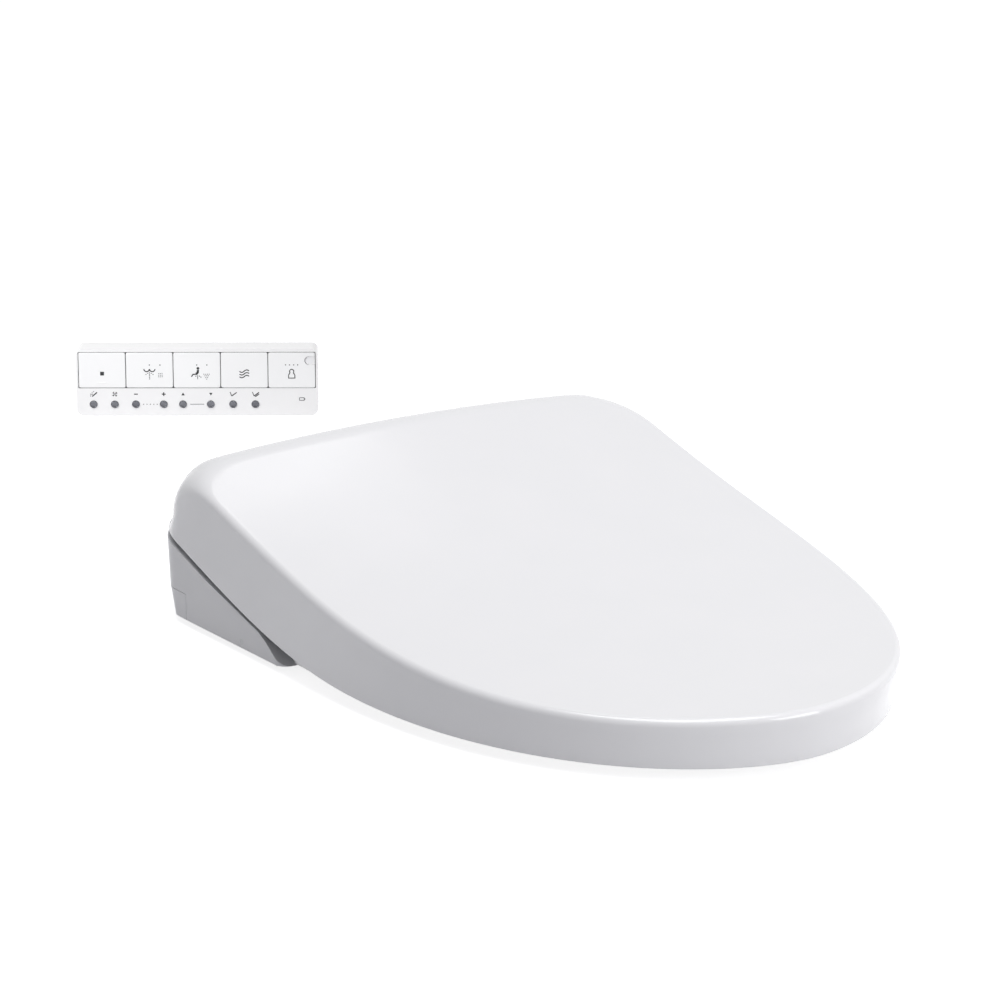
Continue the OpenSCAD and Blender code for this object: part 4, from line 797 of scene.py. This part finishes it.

# %% Lines round the keys
# Thin black strips in the gaps between the caps and round the whole row are painted shade.
# Beside the infrared window a plain white strip closes the case up to its edge.
CASE_FACE = -CASE_D / 2
ROW_W, ROW_H = 196.0, 30.3
row_left, row_low = -ROW_W / 2, KEY_Z - ROW_H / 2
between = [(a + b) / 2 for a, b in zip(KEY_X, KEY_X[1:])]
# painted shade: black strips laid where the gaps between the caps fall in shadow
gap_shade_strips = [bar(x, row_low, x, row_low + ROW_H, 0.5) for x in [row_left] + between + [-row_left]]
gap_shade_strips += [bar(row_left, z, -row_left, z, 0.5) for z in (row_low, row_low + ROW_H)]
printed("key_gap_painted_shade", gap_shade_strips, "base", depth=CASE_FACE, proud=0.03)
pane = to_remote @ middle("remote_window") / MM
surround = printed("window_surround", [bar(pane.x, pane.z, -row_left - 0.2, pane.z, 7)], "base",
                   depth=CASE_FACE + 0.5, proud=0.25, ink=remote_white)

# %% Signs over the small buttons
SIGN_Z, DIAL_Z = 18.4, 9.7


def face_sign(name, shapes, ink=print_and_gap_shade_ink):
    return printed("sign_" + name, shapes, "base", depth=CASE_FACE, proud=0.05, ink=ink)


x = BUTTON_X
face_sign("clean", [bar(x[0] - 1.2, SIGN_Z - 2, x[0] + 2.8, SIGN_Z + 1.6, 0.9)]
          + dots([(x[0] - 2.4, SIGN_Z), (x[0] - 1.2, SIGN_Z + 1.1), (x[0], SIGN_Z + 2.2),
                  (x[0] - 2.6, SIGN_Z - 1.5), (x[0] - 1.3, SIGN_Z - 0.3)]))
blades = []
for a in np.radians([20, 110, 200, 290]):
    tip = [x[1] + 2.5 * math.cos(a), SIGN_Z + 2.5 * math.sin(a)]
    side = [x[1] + 2.2 * math.cos(a + 0.75), SIGN_Z + 2.2 * math.sin(a + 0.75)]
    blades.append([(x[1], SIGN_Z), tip, side])
face_sign("fan", blades)
face_sign("minus", [bar(x[2] - 1.6, SIGN_Z, x[2] + 1.6, SIGN_Z, 0.9)])
face_sign("plus", [bar(x[3] - 1.6, SIGN_Z, x[3] + 1.6, SIGN_Z, 0.9),
                   bar(x[3], SIGN_Z - 1.6, x[3], SIGN_Z + 1.6, 0.9)])
face_sign("up", [[(x[4] - 1.4, SIGN_Z - 1.1), (x[4] + 1.4, SIGN_Z - 1.1), (x[4], SIGN_Z + 1.3)]])
face_sign("down", [[(x[5] - 1.4, SIGN_Z + 1.1), (x[5], SIGN_Z - 1.3), (x[5] + 1.4, SIGN_Z + 1.1)]])
face_sign("lid", [bar(x[6] - 1.2, SIGN_Z - 1.7, x[6] + 3, SIGN_Z + 1.5, 0.8),
                  bar(x[6] - 1.2, SIGN_Z - 1.7, x[6] - 2.6, SIGN_Z + 1.8, 0.6)])
face_sign("seat", [bar(x[7] - 1.2, SIGN_Z - 1.7, x[7] + 3, SIGN_Z + 1.5, 0.8),
                   bar(x[7] - 0.2, SIGN_Z - 2.3, x[7] + 3, SIGN_Z + 0.1, 0.8),
                   bar(x[7] - 1.2, SIGN_Z - 1.7, x[7] - 2.6, SIGN_Z + 1.8, 0.6)])
face_sign("levels", dots([(px, DIAL_Z) for px in np.linspace(x[2] + 6.2, x[3] - 5.6, 5)]))
face_sign("step_line", [bar(x[4] + 5.8, DIAL_Z, x[5] - 5.6, DIAL_Z, 0.55)], line_ink)
face_sign("battery", [bar(84.6, 15.2, 88.4, 15.2, 0.5), bar(84.6, 13, 88.4, 13, 0.5),
                      bar(84.6, 12.8, 84.6, 15.4, 0.5), bar(88.4, 12.8, 88.4, 15.4, 0.5),
                      [(88.6, 13.6), (89.3, 13.6), (89.3, 14.6), (88.6, 14.6)]])

# %% [markdown]
# ## Finishes of the inner pieces
# What the casing hides keeps the shape it was packed with and only takes its finish.

# %% Inner pieces
inner = {
    "heater_tank": tank_steel, "solenoid_valve": frame_dark, "inlet_connector": inlet_brass,
    "water_hoses": hose_rubber, "drain_plug": frame_dark, "wand_guide": frame_grey,
    "wand": base_white, "wand_motor": frame_dark, "wand_pinion": frame_grey,
    "fan_housing": frame_grey, "fan_impeller": frame_dark, "fan_motor": tank_steel,
    "dryer_duct": frame_grey, "deodoriser_fan": frame_grey, "deodoriser_impeller": frame_dark,
    "control_board": board_green, "power_module": frame_dark, "seat_heater": heater_foil,
    "batteries": wrap_khaki, "battery_contacts": pin_steel, "remote_board": board_green,
    "remote_keypad": keypad_rubber,
}
for node, material in inner.items():
    frame["nodes"][node].data.materials.clear()
    frame["nodes"][node].data.materials.append(material)
print(len(inner), "inner pieces dressed")

# %% [markdown]
# ## Studio floor and light
# White ware on white needs light that falls unevenly: a broad box overhead for the top and
# the fine line along the rim, a second box behind on the right that the steeper rear of the
# lid mirrors towards the camera, and a fill from the front right. The room behind is white
# only where the camera, a mirror or clear plastic looks at it, so it adds no light.

# %% Floor


def seen_directly(tree):
    """A node that is 1 where the camera, a mirror or clear plastic looks, else 0."""
    path = add(tree, "ShaderNodeLightPath")
    seen = add(tree, "ShaderNodeMath", {0: (path, "Is Camera Ray"), 1: (path, "Is Glossy Ray")},
               operation="MAXIMUM")
    return add(tree, "ShaderNodeMath", {0: (seen, "Value"), 1: (path, "Is Transmission Ray")},
               operation="MAXIMUM")


floor_size = 8.0
floor_mesh = bpy.data.meshes.new("studio_floor")
corners = [(-1, -1), (1, -1), (1, 1), (-1, 1)]
floor_mesh.from_pydata([(cx * floor_size, cy * floor_size, -0.0005) for cx, cy in corners],
                       [], [(0, 1, 2, 3)])
floor = bpy.data.objects.new("studio_floor", floor_mesh)
bpy.context.scene.collection.objects.link(floor)
paper, tree = blank("white studio paper")
seen = seen_directly(tree)
matt = add(tree, "ShaderNodeBsdfDiffuse", {"Color": linear("#C9C9CB")})
lift = add(tree, "ShaderNodeEmission", {"Color": linear("#FFFFFF"), "Strength": 0.82})
lit = add(tree, "ShaderNodeAddShader", {0: (matt, "BSDF"), 1: (lift, "Emission")})
either = add(tree, "ShaderNodeMixShader", {0: (seen, "Value"), 1: (matt, "BSDF"),
                                           2: (lit, "Shader")})
add(tree, "ShaderNodeOutputMaterial", {"Surface": (either, "Shader")})
floor_mesh.materials.append(paper)

# %% World
world = bpy.data.worlds.new("studio room")
bpy.context.scene.world = world
world.use_nodes = True
tree = world.node_tree
tree.nodes.clear()
seen = seen_directly(tree)
white = add(tree, "ShaderNodeBackground", {"Color": linear("#FFFFFF"), "Strength": 1.0})
room = add(tree, "ShaderNodeBackground", {"Color": linear("#F3F4F9"), "Strength": 0.29})
either = add(tree, "ShaderNodeMixShader", {0: (seen, "Value"), 1: (room, "Background"),
                                           2: (white, "Background")})
add(tree, "ShaderNodeOutputWorld", {"Surface": (either, "Shader")})

# %% Soft boxes


def soft_box(name, place, target, size, radiance):
    """An area light of a given surface brightness, where 1 is white."""
    light = bpy.data.lights.new(name, "AREA")
    light.shape, light.size, light.size_y = "RECTANGLE", size[0], size[1]
    light.energy = radiance * math.pi * size[0] * size[1]
    lamp = bpy.data.objects.new(name, light)
    bpy.context.scene.collection.objects.link(lamp)
    lamp.location = place
    lamp.rotation_euler = (Vector(target) - Vector(place)).to_track_quat("-Z", "Y").to_euler()
    return lamp


centre = (0, -0.17, 0.06)
soft_box("front right box", (0.9, -2.55, 0.9), centre, (1.4, 1.2), 4.7)
soft_box("mirrored box", (1.1, 1.38, 2.2), (1.1, 1.38, 0), (0.7, 0.5), 1.45)
soft_box("overhead box", (-0.1, -0.5, 2.3), (-0.1, -0.5, 0), (1.6, 1.6), 3.7)
control_lamp = soft_box("hand control box", spot + Vector((-0.56, -0.04, 0.32)), spot,
                        (0.3, 0.3), 1.25)
control_lamp.data.spread = math.radians(60)      # keeps its light off the seat

# %% Colour management
bpy.context.scene.view_settings.view_transform = "Standard"
